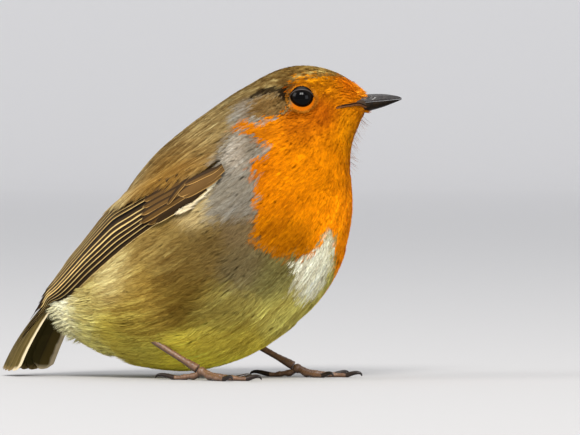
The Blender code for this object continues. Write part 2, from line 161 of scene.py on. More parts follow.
def surfaceAt(station, turn):
    rows, columns = surface.shape[0] - 1, surface.shape[1] - 1
    i = np.clip((station - firstStation) / (lastStation - firstStation), 0, 1) * rows
    j = np.mod(turn, 360) / 360 * columns
    i0 = np.minimum(i.astype(int), rows - 1)
    j0 = np.minimum(j.astype(int), columns - 1)
    a, b = (i - i0)[..., None], (j - j0)[..., None]
    found = ((1 - a) * ((1 - b) * surface[i0, j0] + b * surface[i0, j0 + 1])
             + a * ((1 - b) * surface[i0 + 1, j0] + b * surface[i0 + 1, j0 + 1]))
    return found[..., :3], unit(found[..., 3:6]), found[..., 6:9], found[..., 9:]


def foldTurn(turn):
    turn = np.mod(turn, 360)
    return np.minimum(turn, 360 - turn)


def blendZones(zones, station, turn, least):
    # mixes the zones' values: each counts by how near its centre is, set against its reach in mm
    points = plumagePoint(station, foldTurn(turn))
    total, mixed = 1e-9, 0
    for place, angle, reach, values in zones:
        centre = plumagePoint(np.array(float(place)), np.array(float(angle)))
        near = np.exp(-((points - centre) ** 2).sum(-1) / (reach * reach)) + least
        total = total + near
        mixed = mixed + near[..., None] * values
    return mixed / total[..., None]


eyeLow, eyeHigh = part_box("eye_right")
eyeX, eyeY, eyeZ = bodyShape["eyePlace"]
stance = np.array([(a + b) / 2 for a, b in zip(eyeLow, eyeHigh)]) - headPlace(eyeX, -eyeY, eyeZ) * mm
stance[2] = 0


def toWorld(points):
    return np.asarray(points, float) * mm + stance


# Meshes from arrays

def addPiece(name, points, faces, material, numbers=None, colours=None, bake=None,
             replaced=(), smoothShade=True):
    mesh = bpy.data.meshes.new(name)
    mesh.vertices.add(len(points))
    mesh.vertices.foreach_set("co", toWorld(points).ravel())
    corners = np.concatenate([np.asarray(block, int).ravel() for block in faces])
    sizes = np.concatenate([np.full(len(block), np.shape(block)[1]) for block in faces])
    mesh.loops.add(len(corners))
    mesh.loops.foreach_set("vertex_index", corners)
    mesh.polygons.add(len(sizes))
    mesh.polygons.foreach_set("loop_start", np.concatenate([[0], np.cumsum(sizes)[:-1]]))
    mesh.update(calc_edges=True)
    for key, values in (numbers or {}).items():
        layer = mesh.attributes.new(key, "FLOAT", "POINT")
        layer.data.foreach_set("value", np.asarray(values, float).ravel())
    for key, values in (colours or {}).items():
        layer = mesh.color_attributes.new(key, "FLOAT_COLOR", "POINT")
        full = np.concatenate([values, np.ones((len(values), 1))], axis=1)
        layer.data.foreach_set("color", full.ravel())
    if bake is not None:
        layer = mesh.uv_layers.new(name="OFBake")
        spread = bake if len(bake) == len(corners) else bake[corners]
        layer.data.foreach_set("uv", np.asarray(spread, float).ravel())
    mesh.validate()
    if smoothShade:
        mesh.shade_smooth()
    mesh.materials.append(material)
    piece = bpy.data.objects.new(name, mesh)
    scene.collection.objects.link(piece)
    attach(piece, "root")
    if replaced:
        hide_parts(*replaced)


def gridFaces(rows, columns, start=0, closed=False):
    i, j = np.meshgrid(np.arange(rows - 1), np.arange(columns if closed else columns - 1),
                       indexing="ij")
    i, j = i.ravel(), j.ravel()
    k = (j + 1) % columns
    return start + np.stack([i * columns + j, i * columns + k,
                             (i + 1) * columns + k, (i + 1) * columns + j], axis=1)


class PieceMaker:   # gathers several grids of points into one piece
    def __init__(self):
        self.points, self.quads, self.numbers = [], [], {}
        self.count = 0

    def addGrid(self, points, numbers, closed=False):
        rows, columns = points.shape[:2]
        self.quads.append(gridFaces(rows, columns, self.count, closed))
        self.points.append(points.reshape(-1, 3))
        for key, values in numbers.items():
            full = np.broadcast_to(values, (rows, columns)).ravel()
            self.numbers.setdefault(key, []).append(full)
        self.count += rows * columns

    def finish(self, name, material, slot, replaced=()):
        numbers = {key: np.concatenate(values) for key, values in self.numbers.items()}
        addPiece(name, np.concatenate(self.points), [np.concatenate(self.quads)], material,
                 numbers, replaced=replaced)


# Markings: what colour the plumage is at a station and turn

plumageColours = {      # station, turn folded to one side, reach in mm, colour
    "crown": (12.8, 14, 7, (154, 124, 64)),
    "foreCrown": (14.5, 8, 4, (134, 92, 38)),
    "hindCrown": (11.0, 15, 6, (116, 88, 42)),
    "nape": (9.6, 20, 7, (114, 93, 54)),
    "neckBack": (8.2, 25, 7, (120, 99, 60)),
    "mantle": (6.4, 18, 10, (134, 110, 66)),
    "back": (4.0, 15, 10, (150, 128, 84)),
    "scapulars": (5.4, 42, 8, (117, 84, 33)),
    "rumpTop": (1.0, 20, 10, (126, 106, 60)),
    "sideUnderWing": (6.2, 76, 4, (180, 158, 108)),
    "sideLow": (6.0, 96, 5, (104, 83, 42)),
    "flankTop": (4.8, 80, 6, (138, 113, 60)),
    "flankFront": (5.2, 96, 6, (108, 86, 40)),
    "flankGrey": (6.5, 116, 4.5, (108, 94, 62)),
    "sideShade": (6.85, 99, 3.5, (108, 90, 60)),
    "flank": (3.8, 98, 8, (158, 128, 56)),
    "flankRear": (3.2, 78, 6, (202, 184, 124)),
    "flankTail": (2.0, 90, 6, (178, 158, 92)),
    "flankLow": (4.9, 110, 6, (106, 82, 28)),
    "bellySide": (5.6, 132, 6, (138, 122, 59)),
    # the yellow-green of the lower belly, thighs and vent here is painted bounce light from below over
    # a cream-white underside, and the lowest belly is also painted brighter for that bounce
    "bellyLow": (5.2, 150, 7, (212, 190, 72)),
    "bellyUnder": (4.2, 168, 9, (250, 234, 82)),
    "bellyFront": (6.6, 158, 6, (204, 190, 96)),
    # bellyFrontSide is a darker olive patch of painted shade on the belly's side
    "bellyFrontSide": (6.9, 136, 5, (112, 102, 56)),
    "thigh": (3.6, 114, 5, (158, 136, 54)),
    "thighLow": (3.4, 140, 6, (184, 168, 70)),
    "ventSide": (2.6, 124, 5, (192, 172, 70)),
    "vent": (1.8, 108, 5, (222, 210, 126)),
    "ventUnder": (1.6, 160, 7, (232, 222, 128)),
    "underTail": (0.4, 125, 7, (234, 230, 196)),
}
orangeColours = {
    "forehead": (15.2, 8, 4, (234, 128, 10)),
    "lores": (14.6, 60, 4, (200, 100, 4)),
    "eyeFront": (12.6, 62, 4, (192, 114, 5)),
    "brow": (12.2, 46, 3, (212, 134, 8)),
    "cheek": (10.2, 78, 6, (164, 84, 3)),
    "belowEye": (11.2, 84, 4, (166, 78, 2)),
    "tongue": (8.6, 55, 5, (190, 108, 4)),
    "chin": (14.5, 165, 6, (216, 126, 10)),
    "throat": (12.0, 160, 7, (210, 132, 2)),
    "upperBreast": (9.8, 125, 8, (210, 122, 0)),
    "breast": (8.6, 100, 8, (208, 119, 0)),
    "breastSide": (8.1, 82, 5, (182, 96, 1)),
    "breastLow": (7.5, 122, 6, (170, 98, 0)),
    "breastMiddle": (8.8, 165, 8, (250, 150, 5)),
}
markings = {    # outlines by station and turn, softness and raggedness in mm, and the colour
    "grey": {       # from behind the eye, down the side of the neck, to the side of the breast
        "outline": [(10.35, 48), (10.15, 46), (9.73, 40), (9.43, 35), (9.12, 33), (8.7, 32),
                    (8.2, 34), (7.95, 42), (7.9, 51), (7.65, 52), (7.4, 55), (7.15, 59),
                    (6.95, 65), (6.7, 72), (6.45, 80), (6.35, 84), (6.5, 88), (6.8, 91),
                    (7.12, 96), (7.45, 101), (8.2, 96), (8.9, 82), (9.2, 75), (9.6, 58),
                    (10.0, 58)],
        "mirrored": True, "soft": 1.8, "ragged": 0.9, "colour": (126, 119, 106),
        "strength": 0.92,
    },
    "neckShade": {  # the grey is browner and darker on the neck
        "outline": [(10.3, 48), (9.7, 40), (9.4, 35), (9.1, 33), (8.7, 32), (8.4, 34),
                    (8.35, 42), (8.4, 48), (8.6, 50), (9.0, 52), (9.5, 56), (10.0, 57)],
        "mirrored": True, "soft": 2.4, "ragged": 1.2, "colour": (120, 106, 88),
        "strength": 0.85,
    },
    "greyPale": {   # and palest where it meets the front of the wing
        "outline": [(8.15, 56), (8.05, 66), (7.9, 72), (7.6, 74), (7.4, 66), (7.6, 58)],
        "mirrored": True, "soft": 2.4, "ragged": 0.5, "colour": (176, 165, 148),
        "strength": 0.75,
    },
    "ear": {        # brown streaks behind the eye
        "outline": [(10.5, 50), (10.15, 46), (9.8, 38), (9.4, 35), (9.05, 35), (8.75, 39),
                    (8.65, 46), (8.8, 53), (9.1, 58), (9.5, 61), (9.9, 61), (10.3, 56)],
        "mirrored": True, "soft": 1.2, "ragged": 1.2, "colour": (106, 78, 35),
        "strength": 0.9,
    },
    "eyeLine": {    # a thin dark streak between the crown and the grey
        "outline": [(10.62, 40), (10.5, 38), (10.12, 33.6), (9.78, 30), (9.43, 28.2), (9.0, 27.8),
                    (8.8, 33.6), (9.36, 34.4), (9.68, 36.4), (9.93, 39.6), (9.98, 44), (9.92, 49),
                    (10.0, 53.5), (10.22, 52.5), (10.32, 47), (10.35, 43)],
        "mirrored": True, "soft": 0.4, "ragged": 0.4, "colour": (30, 20, 8),
        "strength": 0.92,
    },
    "white": {
        "outline": [(8.55, 149), (8.3, 160), (7.95, 170), (7.5, 175), (7.15, 174), (7.0, 166),
                    (7.0, 157), (7.15, 150), (7.3, 143), (7.5, 138), (7.7, 137), (7.85, 139),
                    (8.1, 142), (8.4, 146)],
        "mirrored": False, "soft": 2.2, "ragged": 2.0, "colour": (236, 232, 206),
        "strength": 0.92,
    },
    "orange": {
        "outline": [(16.6, -4), (15.5, 2), (14.95, 8), (14.4, 20), (13.8, 31), (13.2, 38),
                    (12.6, 40), (12.1, 38), (11.6, 36), (11.2, 36), (10.85, 39), (10.5, 44),
                    (10.35, 49), (10.3, 54), (10.12, 58), (9.85, 60.5), (9.6, 60), (9.33, 58.5),
                    (8.98, 57.5), (8.7, 55.5), (8.5, 51.5), (8.3, 49), (7.95, 49), (8.2, 55),
                    (8.35, 62), (8.5, 69), (8.62, 76), (8.35, 78), (8.05, 76), (7.9, 77),
                    (8.0, 81), (7.66, 92), (7.45, 100), (7.05, 108), (7.2, 118), (7.3, 130),
                    (7.55, 130), (7.75, 142), (8.05, 144), (8.5, 145), (8.45, 160), (8.1, 168),
                    (7.8, 182), (7.5, 192), (7.05, 196), (7.0, 214), (7.1, 236), (7.05, 252),
                    (7.5, 262), (7.85, 280), (8.05, 292), (8.45, 287), (8.62, 284), (8.5, 291),
                    (8.2, 304), (8.0, 310), (8.35, 310.5), (8.7, 304.5), (9.0, 302.5), (9.33, 301.5),
                    (9.6, 300), (9.85, 299.5), (10.12, 302), (10.3, 306), (10.35, 311),
                    (10.5, 316), (10.85, 321), (11.6, 324), (12.6, 320), (13.2, 322),
                    (13.8, 329), (14.4, 340), (14.95, 352), (15.5, 358), (16.6, 364)],
        "mirrored": False, "soft": 0.55, "ragged": 1.5,
    },
}


def insideOutline(outline, station, turn):
    inside = np.zeros(np.shape(station), bool)
    for (s0, a0), (s1, a1) in zip(outline, outline[1:] + outline[:1]):
        crosses = (a0 > turn) != (a1 > turn)
        level = s0 + (turn - a0) * (s1 - s0) / (a1 - a0 if a1 != a0 else 1)
        inside ^= crosses & (station < level)
    return inside


def edgeTree(outline):
    points = []
    for (s0, a0), (s1, a1) in zip(outline, outline[1:] + outline[:1]):
        t = np.linspace(0, 1, 24, endpoint=False)
        points.append(plumagePoint(s0 + (s1 - s0) * t, a0 + (a1 - a0) * t))
    points = np.concatenate(points)
    tree = KDTree(len(points))
    for i, point in enumerate(points):
        tree.insert(Vector(point), i)
    tree.balance()
    return tree


for marking in markings.values():
    marking["tree"] = edgeTree(marking["outline"])


def coverage(marking, station, turn, jitter):
    # how much of a marking there is at each place: 1 well inside, 0 well outside
    where = foldTurn(turn) if marking["mirrored"] else np.mod(turn, 360)
    near = insideOutline(marking["outline"], station, where)
    points = plumagePoint(station, where)
    distance = np.array([marking["tree"].find(Vector(p))[2] for p in points.reshape(-1, 3)])
    signed = np.where(near, 1, -1) * distance.reshape(near.shape)
    return smooth(-marking["soft"], marking["soft"], signed + marking["ragged"] * jitter)


def blendColours(colours, station, turn):
    zones = [(place, angle, reach, srgb(*colour))
             for place, angle, reach, colour in colours.values()]
    return blendZones(zones, station, turn, 1e-6)


def plumageColour(station, turn, jitter=None):
    jitter = np.zeros(np.shape(station)) if jitter is None else jitter
    colour = blendColours(plumageColours, station, turn)
    for name in ("grey", "neckShade", "greyPale", "ear", "eyeLine", "white"):
        marking = markings[name]
        share = coverage(marking, station, turn, jitter)[..., None] * marking["strength"]
        colour = colour * (1 - share) + srgb(*marking["colour"]) * share
    share = coverage(markings["orange"], station, turn, jitter)[..., None]
    return colour * (1 - share) + blendColours(orangeColours, station, turn) * share


# Materials

def addGroup(name, inputs, outputs):
    group = bpy.data.node_groups.new(name, "ShaderNodeTree")
    for label, kind, value in inputs:
        made = group.interface.new_socket(name=label, in_out="INPUT", socket_type=kind)
        made.default_value = value
    for label, kind in outputs:
        group.interface.new_socket(name=label, in_out="OUTPUT", socket_type=kind)
    return group, group.nodes.new("NodeGroupInput"), group.nodes.new("NodeGroupOutput")


def addNode(tree, kind, **values):
    node = tree.nodes.new(kind)
    for key, value in values.items():
        if hasattr(node, key):
            setattr(node, key, value)
        else:
            node.inputs[key].default_value = value
    return node


def addMath(tree, operation, a, b=None, clamp=False):
    node = tree.nodes.new("ShaderNodeMath")
    node.operation, node.use_clamp = operation, clamp
    for socket, value in zip(node.inputs, (a, b)):
        if value is None:
            continue
        if isinstance(value, bpy.types.NodeSocket):
            tree.links.new(value, socket)
        else:
            socket.default_value = value
    return node.outputs[0]


def addMix(tree, share, a, b, blend="MIX"):
    node = tree.nodes.new("ShaderNodeMix")
    node.data_type, node.blend_type = "RGBA", blend
    for socket, value in ((node.inputs[0], share), (node.inputs[6], a), (node.inputs[7], b)):
        if isinstance(value, bpy.types.NodeSocket):
            tree.links.new(value, socket)
        else:
            socket.default_value = value if socket is node.inputs[0] else (*value, 1)
    return node.outputs[2]


def addRamp(tree, value, start, steepness):
    # 0 up to the start, then rising to 1
    return addMath(tree, "MULTIPLY", addMath(tree, "SUBTRACT", value, start), steepness, clamp=True)


def addNoise(tree, scale, detail):
    noise = addNode(tree, "ShaderNodeTexNoise", Scale=scale, Detail=detail)
    place = tree.nodes.new("ShaderNodeTexCoord")
    tree.links.new(place.outputs["Object"], noise.inputs["Vector"])
    return noise.outputs["Fac"]


def addBump(tree, shader, height, strength, distance):
    bump = addNode(tree, "ShaderNodeBump", Strength=strength, Distance=distance)
    tree.links.new(height, bump.inputs["Height"])
    tree.links.new(bump.outputs["Normal"], shader.inputs["Normal"])


def scaleColour(tree, colour, amount):
    scale = tree.nodes.new("ShaderNodeVectorMath")
    scale.operation = "SCALE"
    tree.links.new(colour, scale.inputs[0])
    tree.links.new(amount, scale.inputs["Scale"])
    return scale.outputs[0]


def readAttribute(tree, name, output="Fac"):
    node = tree.nodes.new("ShaderNodeAttribute")
    node.attribute_name = name
    return node.outputs[output]


def newMaterial(name, roughness, **values):
    material = bpy.data.materials.new(name)
    material.use_nodes = True
    shader = material.node_tree.nodes["Principled BSDF"]
    shader.inputs["Roughness"].default_value = roughness
    for key, value in values.items():
        shader.inputs[key].default_value = value
    return material, material.node_tree, shader


def placeGroup(tree, group, **links):
    node = tree.nodes.new("ShaderNodeGroup")
    node.node_tree = group
    for key, value in links.items():
        if isinstance(value, bpy.types.NodeSocket):
            tree.links.new(value, node.inputs[key])
        else:
            node.inputs[key].default_value = value
    return node


def makePlumageTone():
    # paints shade at the root of a barb, lighter toward its tip, and varies one barb from the next
    tree, given, result = addGroup("plumageTone", [
        ("Colour", "NodeSocketColor", (0.5, 0.5, 0.5, 1)), ("Along", "NodeSocketFloat", 1.0),
        ("Shade", "NodeSocketFloat", 0.5), ("Root", "NodeSocketFloat", 0.5),
        ("Variation", "NodeSocketFloat", 0.3), ("Mottle", "NodeSocketFloat", 0.15),
    ], [("Colour", "NodeSocketColor"), ("Roughness", "NodeSocketFloat")])
    # the Root input is the share of colour left at a barb's root: painted shade
    curve = addMath(tree, "POWER", given.outputs["Along"], 0.7)
    spare = addMath(tree, "SUBTRACT", 1.0, given.outputs["Root"])
    tone = addMath(tree, "ADD", given.outputs["Root"], addMath(tree, "MULTIPLY", spare, curve))
    shade = addMath(tree, "SUBTRACT", given.outputs["Shade"], 0.5)
    tone = addMath(tree, "MULTIPLY", tone, addMath(
        tree, "ADD", 1.0, addMath(tree, "MULTIPLY", shade, given.outputs["Variation"])))
    patch = addMath(tree, "MULTIPLY", addMath(tree, "SUBTRACT", addNoise(tree, 260.0, 3.0), 0.5),
                    given.outputs["Mottle"])
    tone = addMath(tree, "MULTIPLY", tone, addMath(tree, "ADD", 1.0, patch))
    tree.links.new(scaleColour(tree, given.outputs["Colour"], tone), result.inputs["Colour"])
    rough = addMath(tree, "ADD", 0.62, addMath(tree, "MULTIPLY", given.outputs["Shade"], 0.25))
    tree.links.new(rough, result.inputs["Roughness"])
    return tree


plumageTone = makePlumageTone()


def makePlumageMaterial(name, root, variation, mottle, along=True):
    material, tree, shader = newMaterial(name, 0.75)
    shader.inputs["Specular IOR Level"].default_value = 0.03
    tone = placeGroup(tree, plumageTone, Colour=readAttribute(tree, "plumage", "Color"),
                      Root=root, Variation=variation, Mottle=mottle)
    if along:
        tree.links.new(readAttribute(tree, "along"), tone.inputs["Along"])
        tree.links.new(readAttribute(tree, "shade"), tone.inputs["Shade"])
    tree.links.new(tone.outputs["Colour"], shader.inputs["Base Color"])
    tree.links.new(tone.outputs["Roughness"], shader.inputs["Roughness"])
    return material


# the barbs' roots get painted shade, 0.58 of their colour
coatMaterial = makePlumageMaterial("plumageBarbs", 0.58, 0.34, 0.1)
skinMaterial = makePlumageMaterial("plumageDown", 0.45, 0.3, 0.3, along=False)
print("robin: the markings and materials are ready")


# The coat's form: how long, close and deep the small feathers are over the body

coatZones = {   # station, folded turn, reach; length, spacing, depth, comb toward the belly, fluff,
    # and how strong the streaks are
    "lores": (15.2, 60, 3.0, 1.0, 0.42, 0.45, 0, 0.08, 0.3),
    "forehead": (14.8, 8, 3.5, 1.4, 0.46, 0.6, 0, 0.08, 0.34),
    "face": (12.6, 62, 3.5, 1.3, 0.42, 0.6, 0, 0.08, 0.36),
    "crown": (12.0, 12, 5.0, 2.1, 0.52, 0.8, 0, 0.12, 0.62),
    "nape": (9.6, 16, 6.0, 3.2, 0.62, 1.0, 0, 0.16, 0.54),
    "cheek": (10.4, 78, 4.5, 2.2, 0.52, 0.8, 0, 0.16, 0.32),
    "chin": (15.0, 170, 4.0, 1.6, 0.46, 0.7, 0, 0.2, 0.24),
    "throat": (12.5, 165, 6.0, 2.6, 0.6, 0.9, 0, 0.3, 0.2),
    "upperBreast": (9.6, 130, 8.0, 3.6, 0.72, 1.1, 0, 0.3, 0.17),
    "neckSide": (8.6, 55, 6.0, 3.6, 0.68, 1.2, 0, 0.22, 0.26),
    "breast": (8.0, 120, 8.0, 4.2, 0.78, 1.25, 0, 0.32, 0.17),
    "mantle": (6.6, 15, 9.0, 4.6, 0.78, 1.2, 4, 0.18, 0.4),
    "scapulars": (5.4, 40, 7.0, 6.0, 0.85, 1.2, 8, 0.22, 0.4),
    "breastSide": (6.8, 90, 7.0, 5.2, 0.85, 1.5, 0, 0.4, 0.1),
    "flank": (4.4, 100, 9.0, 6.6, 0.95, 1.7, 0, 0.6, 0.29),
    "bellyMiddle": (6.0, 165, 9.0, 5.6, 0.95, 1.6, 0, 0.4, 0.22),
    "belly": (3.4, 150, 10.0, 6.0, 0.98, 1.6, 0, 0.45, 0.22),
    "rump": (1.8, 25, 9.0, 6.0, 0.95, 1.3, 0, 0.25, 0.26),
    "vent": (1.0, 130, 8.0, 7.2, 0.95, 1.4, 0, 0.6, 0.24),
    "underTail": (-0.2, 110, 7.0, 7.6, 0.9, 1.0, 0, 0.5, 0.16),
}


def coatForm(station, turn):
    zones = [(*row[:3], np.array(row[3:], float)) for row in coatZones.values()]
    return np.moveaxis(blendZones(zones, station, turn, 1e-7), -1, 0)


# Streaks: smooth random values that run with the lie of the coat

streakShape = {
    "finest": 420,          # cells round the body, and a quarter as many round the head
    "perStation": 2.1,
    "onHead": 1.7,          # how much shorter they are there
    "clumps": 54,
    "clumpsPerStation": 0.9,
    "headFrom": 7.5,
    "headTo": 10.5,
    "fineShare": 0.9,
    "clumpShare": 0.45,
    "tint": (0.8, 1.0, 1.25),   # dark streaks are deeper and redder, light ones yellower
}
streakTable = draw.normal(0, 1, (64, streakShape["finest"]))
phaseTable = draw.random(streakShape["finest"]) * 64


def readStreaks(station, turn, cells, perStation):
    column = np.mod(turn, 360) / 360 * cells
    left = column.astype(int) % cells
    part = smooth(0, 1, column - np.floor(column))
    found = []
    for k in (left, (left + 1) % cells):
        row = (station - firstStation) * perStation + phaseTable[k]
        low = np.floor(row).astype(int)
        t = smooth(0, 1, row - low)
        found.append(streakTable[low % 64, k] * (1 - t) + streakTable[(low + 1) % 64, k] * t)
    return found[0] * (1 - part) + found[1] * part


def streakTone(station, turn):
    finest = streakShape["finest"]
    head = smooth(streakShape["headFrom"], streakShape["headTo"], station)
    fine = (readStreaks(station, turn, finest, streakShape["perStation"]) * (1 - head)
            + readStreaks(station, turn, finest // 4,
                          streakShape["perStation"] * streakShape["onHead"]) * head)
    clumps = readStreaks(station, turn, streakShape["clumps"], streakShape["clumpsPerStation"])
    return fine * streakShape["fineShare"] + clumps * streakShape["clumpShare"]


def tintStreak(colour, amount):
    return colour * np.exp(amount[..., None] * np.array(streakShape["tint"]))


# Skin: one closed surface under all the small feathers

skinShape = {
    "from": 0.3, "to": 15.92,
    "rows": 250, "columns": 160,
    "sunk": 0.5,            # share of the coat's depth that it lies below the surface
    "eyePit": 1.5,
    "eyePitReach": (4.4, 2.6),      # from the eye's centre, where the pit begins and is deepest
}


def makeSkin():
    rows, columns = skinShape["rows"], skinShape["columns"]
    stations, turns = np.meshgrid(
        np.linspace(skinShape["from"], skinShape["to"], rows),
        np.linspace(0, 360, columns, endpoint=False), indexing="ij")
    place, out, _, _ = surfaceAt(stations, turns)
    depth = coatForm(stations, turns)[2] * skinShape["sunk"]
    for side in (-1, 1):    # the skin dips under each eye
        eye = headPlace(eyeX, side * eyeY, eyeZ)
        near = np.linalg.norm(place - eye, axis=-1)
        depth = depth + skinShape["eyePit"] * smooth(*skinShape["eyePitReach"], near)
    points = (place - out * depth[..., None]).reshape(-1, 3)
    colour = plumageColour(stations, turns).reshape(-1, 3)
    quads = gridFaces(rows, columns, closed=True)
    ends = [points[:columns].mean(0), points[-columns:].mean(0)]
    points = np.vstack([points, ends])
    colour = np.vstack([colour, colour[:1], colour[-1:]])
    first, last = rows * columns, rows * columns + 1
    k = np.arange(columns)
    nextK = (k + 1) % columns
    low = np.stack([nextK, k, np.full(columns, first)], axis=1)
    high = np.stack([k, nextK, np.full(columns, last - (rows - 1) * columns)], axis=1)
    high = high + (rows - 1) * columns
    u = turns / 360
    v = (stations - firstStation) / (lastStation - firstStation)
    quadTurn = np.stack([u.ravel()[quads[:, 0]]] * 4, axis=1)
    quadTurn[:, 1:3] += 1 / columns
    quadRow = v.ravel()[quads]
    uv = np.stack([quadTurn, quadRow], axis=-1).reshape(-1, 2)
    # the caps at both ends run just past the ends of the unwrap
    capLow = np.stack([np.stack([(k + 1) / columns, k / columns, (k + 0.5) / columns], 1),
                       np.tile([v[0, 0], v[0, 0], v[0, 0] - 0.01], (columns, 1))], -1)
    capHigh = np.stack([np.stack([k / columns, (k + 1) / columns, (k + 0.5) / columns], 1),
                        np.tile([v[-1, 0], v[-1, 0], v[-1, 0] + 0.004], (columns, 1))], -1)
    uv = np.vstack([uv, capLow.reshape(-1, 2), capHigh.reshape(-1, 2)])
    addPiece("skin", points, [quads, low, high], skinMaterial,
             colours={"plumage": colour}, bake=uv,
             replaced=("head", "neck", "breast", "belly", "rump"))


makeSkin()
print("robin: the skin is made")


# The folded wing's form

wingShape = {
    # station, upper edge and lower edge in degrees of turn, how proud of the body it stands
    "rows": [
        (-1.95, 46, 87, 2.0), (-1.0, 24, 98, 2.7), (0.0, 14, 99, 3.6), (1.0, 10, 87, 3.8),
        (2.0, 9, 75, 3.1), (3.0, 16, 70.5, 2.4), (4.2, 34, 69.5, 2.4), (5.2, 44, 71, 2.4),
        (6.2, 49, 74, 2.2), (7.1, 57, 75, 1.5),
    ],
    "rim": 0.75,
    "covertRise": 0.35,     # how far the coverts stand over the flight feathers
    "covertFrom": (4.2, 4.9),       # stations over which they rise
    "underScapulars": (2.5, 3.7),   # stations over which the wing sinks into the back
    "sinkShare": 0.72,
    "sinkUntil": (0.04, 0.38),      # share of its width over which it comes out again
}


def wingRow(station):
    numbers = [row[0] for row in wingShape["rows"]]
    at = np.interp(station, numbers, np.arange(len(numbers)))
    found = readSpline([row[1:] for row in wingShape["rows"]], at)
    return found[..., 0], found[..., 1], found[..., 2]


def wingRise(station, share):
    lift = wingRow(station)[2]
    swell = 1 - np.clip(2 * share - 1, -1, 1) ** 6
    rise = wingShape["rim"] + (lift - wingShape["rim"]) * swell
    rise = rise + wingShape["covertRise"] * smooth(*wingShape["covertFrom"], station)
    sunk = wingShape["sinkShare"] * smooth(*wingShape["underScapulars"], station)
    return rise * (1 - sunk * (1 - smooth(*wingShape["sinkUntil"], share)))


def wingPlace(side, station, share, height):
    # side is -1 for the right wing; share 0 is the upper edge and 1 the lower edge
    upper, lower, _ = wingRow(station)
    fold = upper + (lower - upper) * share
    place, out, _, _ = surfaceAt(station, fold if side < 0 else 360 - fold)
    return place + out * height[..., None]


def overWing(station, turn):
    # how high the wing stands at a place on the body, and 0 beside it
    fold = foldTurn(turn)
    upper, lower, _ = wingRow(station)
    share = (fold - upper) / (lower - upper)
    inside = (share > -0.04) & (share < 1.04) & (station > -1.95) & (station < 7.15)
    return np.where(inside, wingRise(station, share), 0), share, inside


# Coat: fans of narrow barbs over the skin

barbShape = {
    "shortWidth": 0.1,      # half width of a barb on the face at its widest, in mm
    "longWidth": 0.16,      # and on the flank
    "perTuft": 14,
    # by the number of segments: where its points lie from root to tip, and how wide it is there
    "steps": {2: (0.0, 0.5, 1.0), 3: (0.0, 0.36, 0.7, 1.0)},
    "taper": {2: (0.85, 1.0, 0.0), 3: (0.75, 1.0, 0.72, 0.0)},
    "fan": 7.0,             # degrees a fan opens to each side
    "lean": 7.0,            # degrees that a patch of tufts leans
    "leanCells": 30,        # patches round the body
    "leanPerStation": 1.2,
    "seenAt": 0.6,          # share of a barb's length where its marking is read
    "bakePatch": 0.003,
    "outward": 0.3,         # how far the tips stand over the solids' surface
}


def sowRoots(first, last, rowStep, lowFold, highFold, closer=1.0):
    # roots in close rows round the body, each row with its own offset
    stations, turns = [], []
    slots = 720
    apart = 360 / slots
    angles = np.linspace(0, 360, slots + 1)[:-1] + apart / 2
    for row in np.arange(first, last, rowStep):
        at = np.full(slots, row)
        _, _, along, around = surfaceAt(at, angles)
        spacing = coatForm(at, angles)[1] / closer
        area = np.linalg.norm(np.cross(along, around), axis=-1) * rowStep * apart
        fold = foldTurn(angles)
        area = np.where((fold >= lowFold) & (fold < highFold), area, 0)
        total = np.cumsum(area / spacing ** 2) + draw.random()
        steps = np.floor(total)
        chosen = np.nonzero(np.diff(np.concatenate([[np.floor(total[0])], steps])) > 0)[0]
        stations.append(row + (draw.random(len(chosen)) - 0.5) * rowStep)
        turns.append(angles[chosen] + (draw.random(len(chosen)) - 0.5) * 1.5)
    return np.concatenate(stations), np.concatenate(turns)


eyeCentres = [headPlace(eyeX, side * eyeY, eyeZ) for side in (-1, 1)]
eyeAxes = [unit(headPlace(eyeX, side * 9.0, eyeZ) - headPlace(eyeX, side * 1.0, eyeZ))
           for side in (-1, 1)]
eyeShape = {
    "lidRadius": 3.0, "clear": 3.3,
    "long": 0.91, "high": 1.22, "low": 1.0,     # the opening is longer than it is high
}


def eyeOval(ahead, upward):
    high = np.where(upward > 0, eyeShape["high"], eyeShape["low"])
    return np.sqrt((ahead * eyeShape["long"]) ** 2 + (upward * high) ** 2)


def eyeReach(place):
    # distance from the nearer eye's axis and the direction away from it
    best, away = np.full(place.shape[:-1], 99.0), np.zeros_like(place)
    for centre, axis in zip(eyeCentres, eyeAxes):
        offset = place - centre
        depth = (offset * axis).sum(-1, keepdims=True)
        flat = offset - axis * depth
        upward = flat[..., 2]
        reach = eyeOval(np.sqrt(np.maximum((flat * flat).sum(-1) - upward ** 2, 0)), upward)
        reach = np.where(depth[..., 0] > 0, reach, 99)
        closer = reach < best
        best = np.where(closer, reach, best)
        away[closer] = unit(flat)[closer]
    return best, away


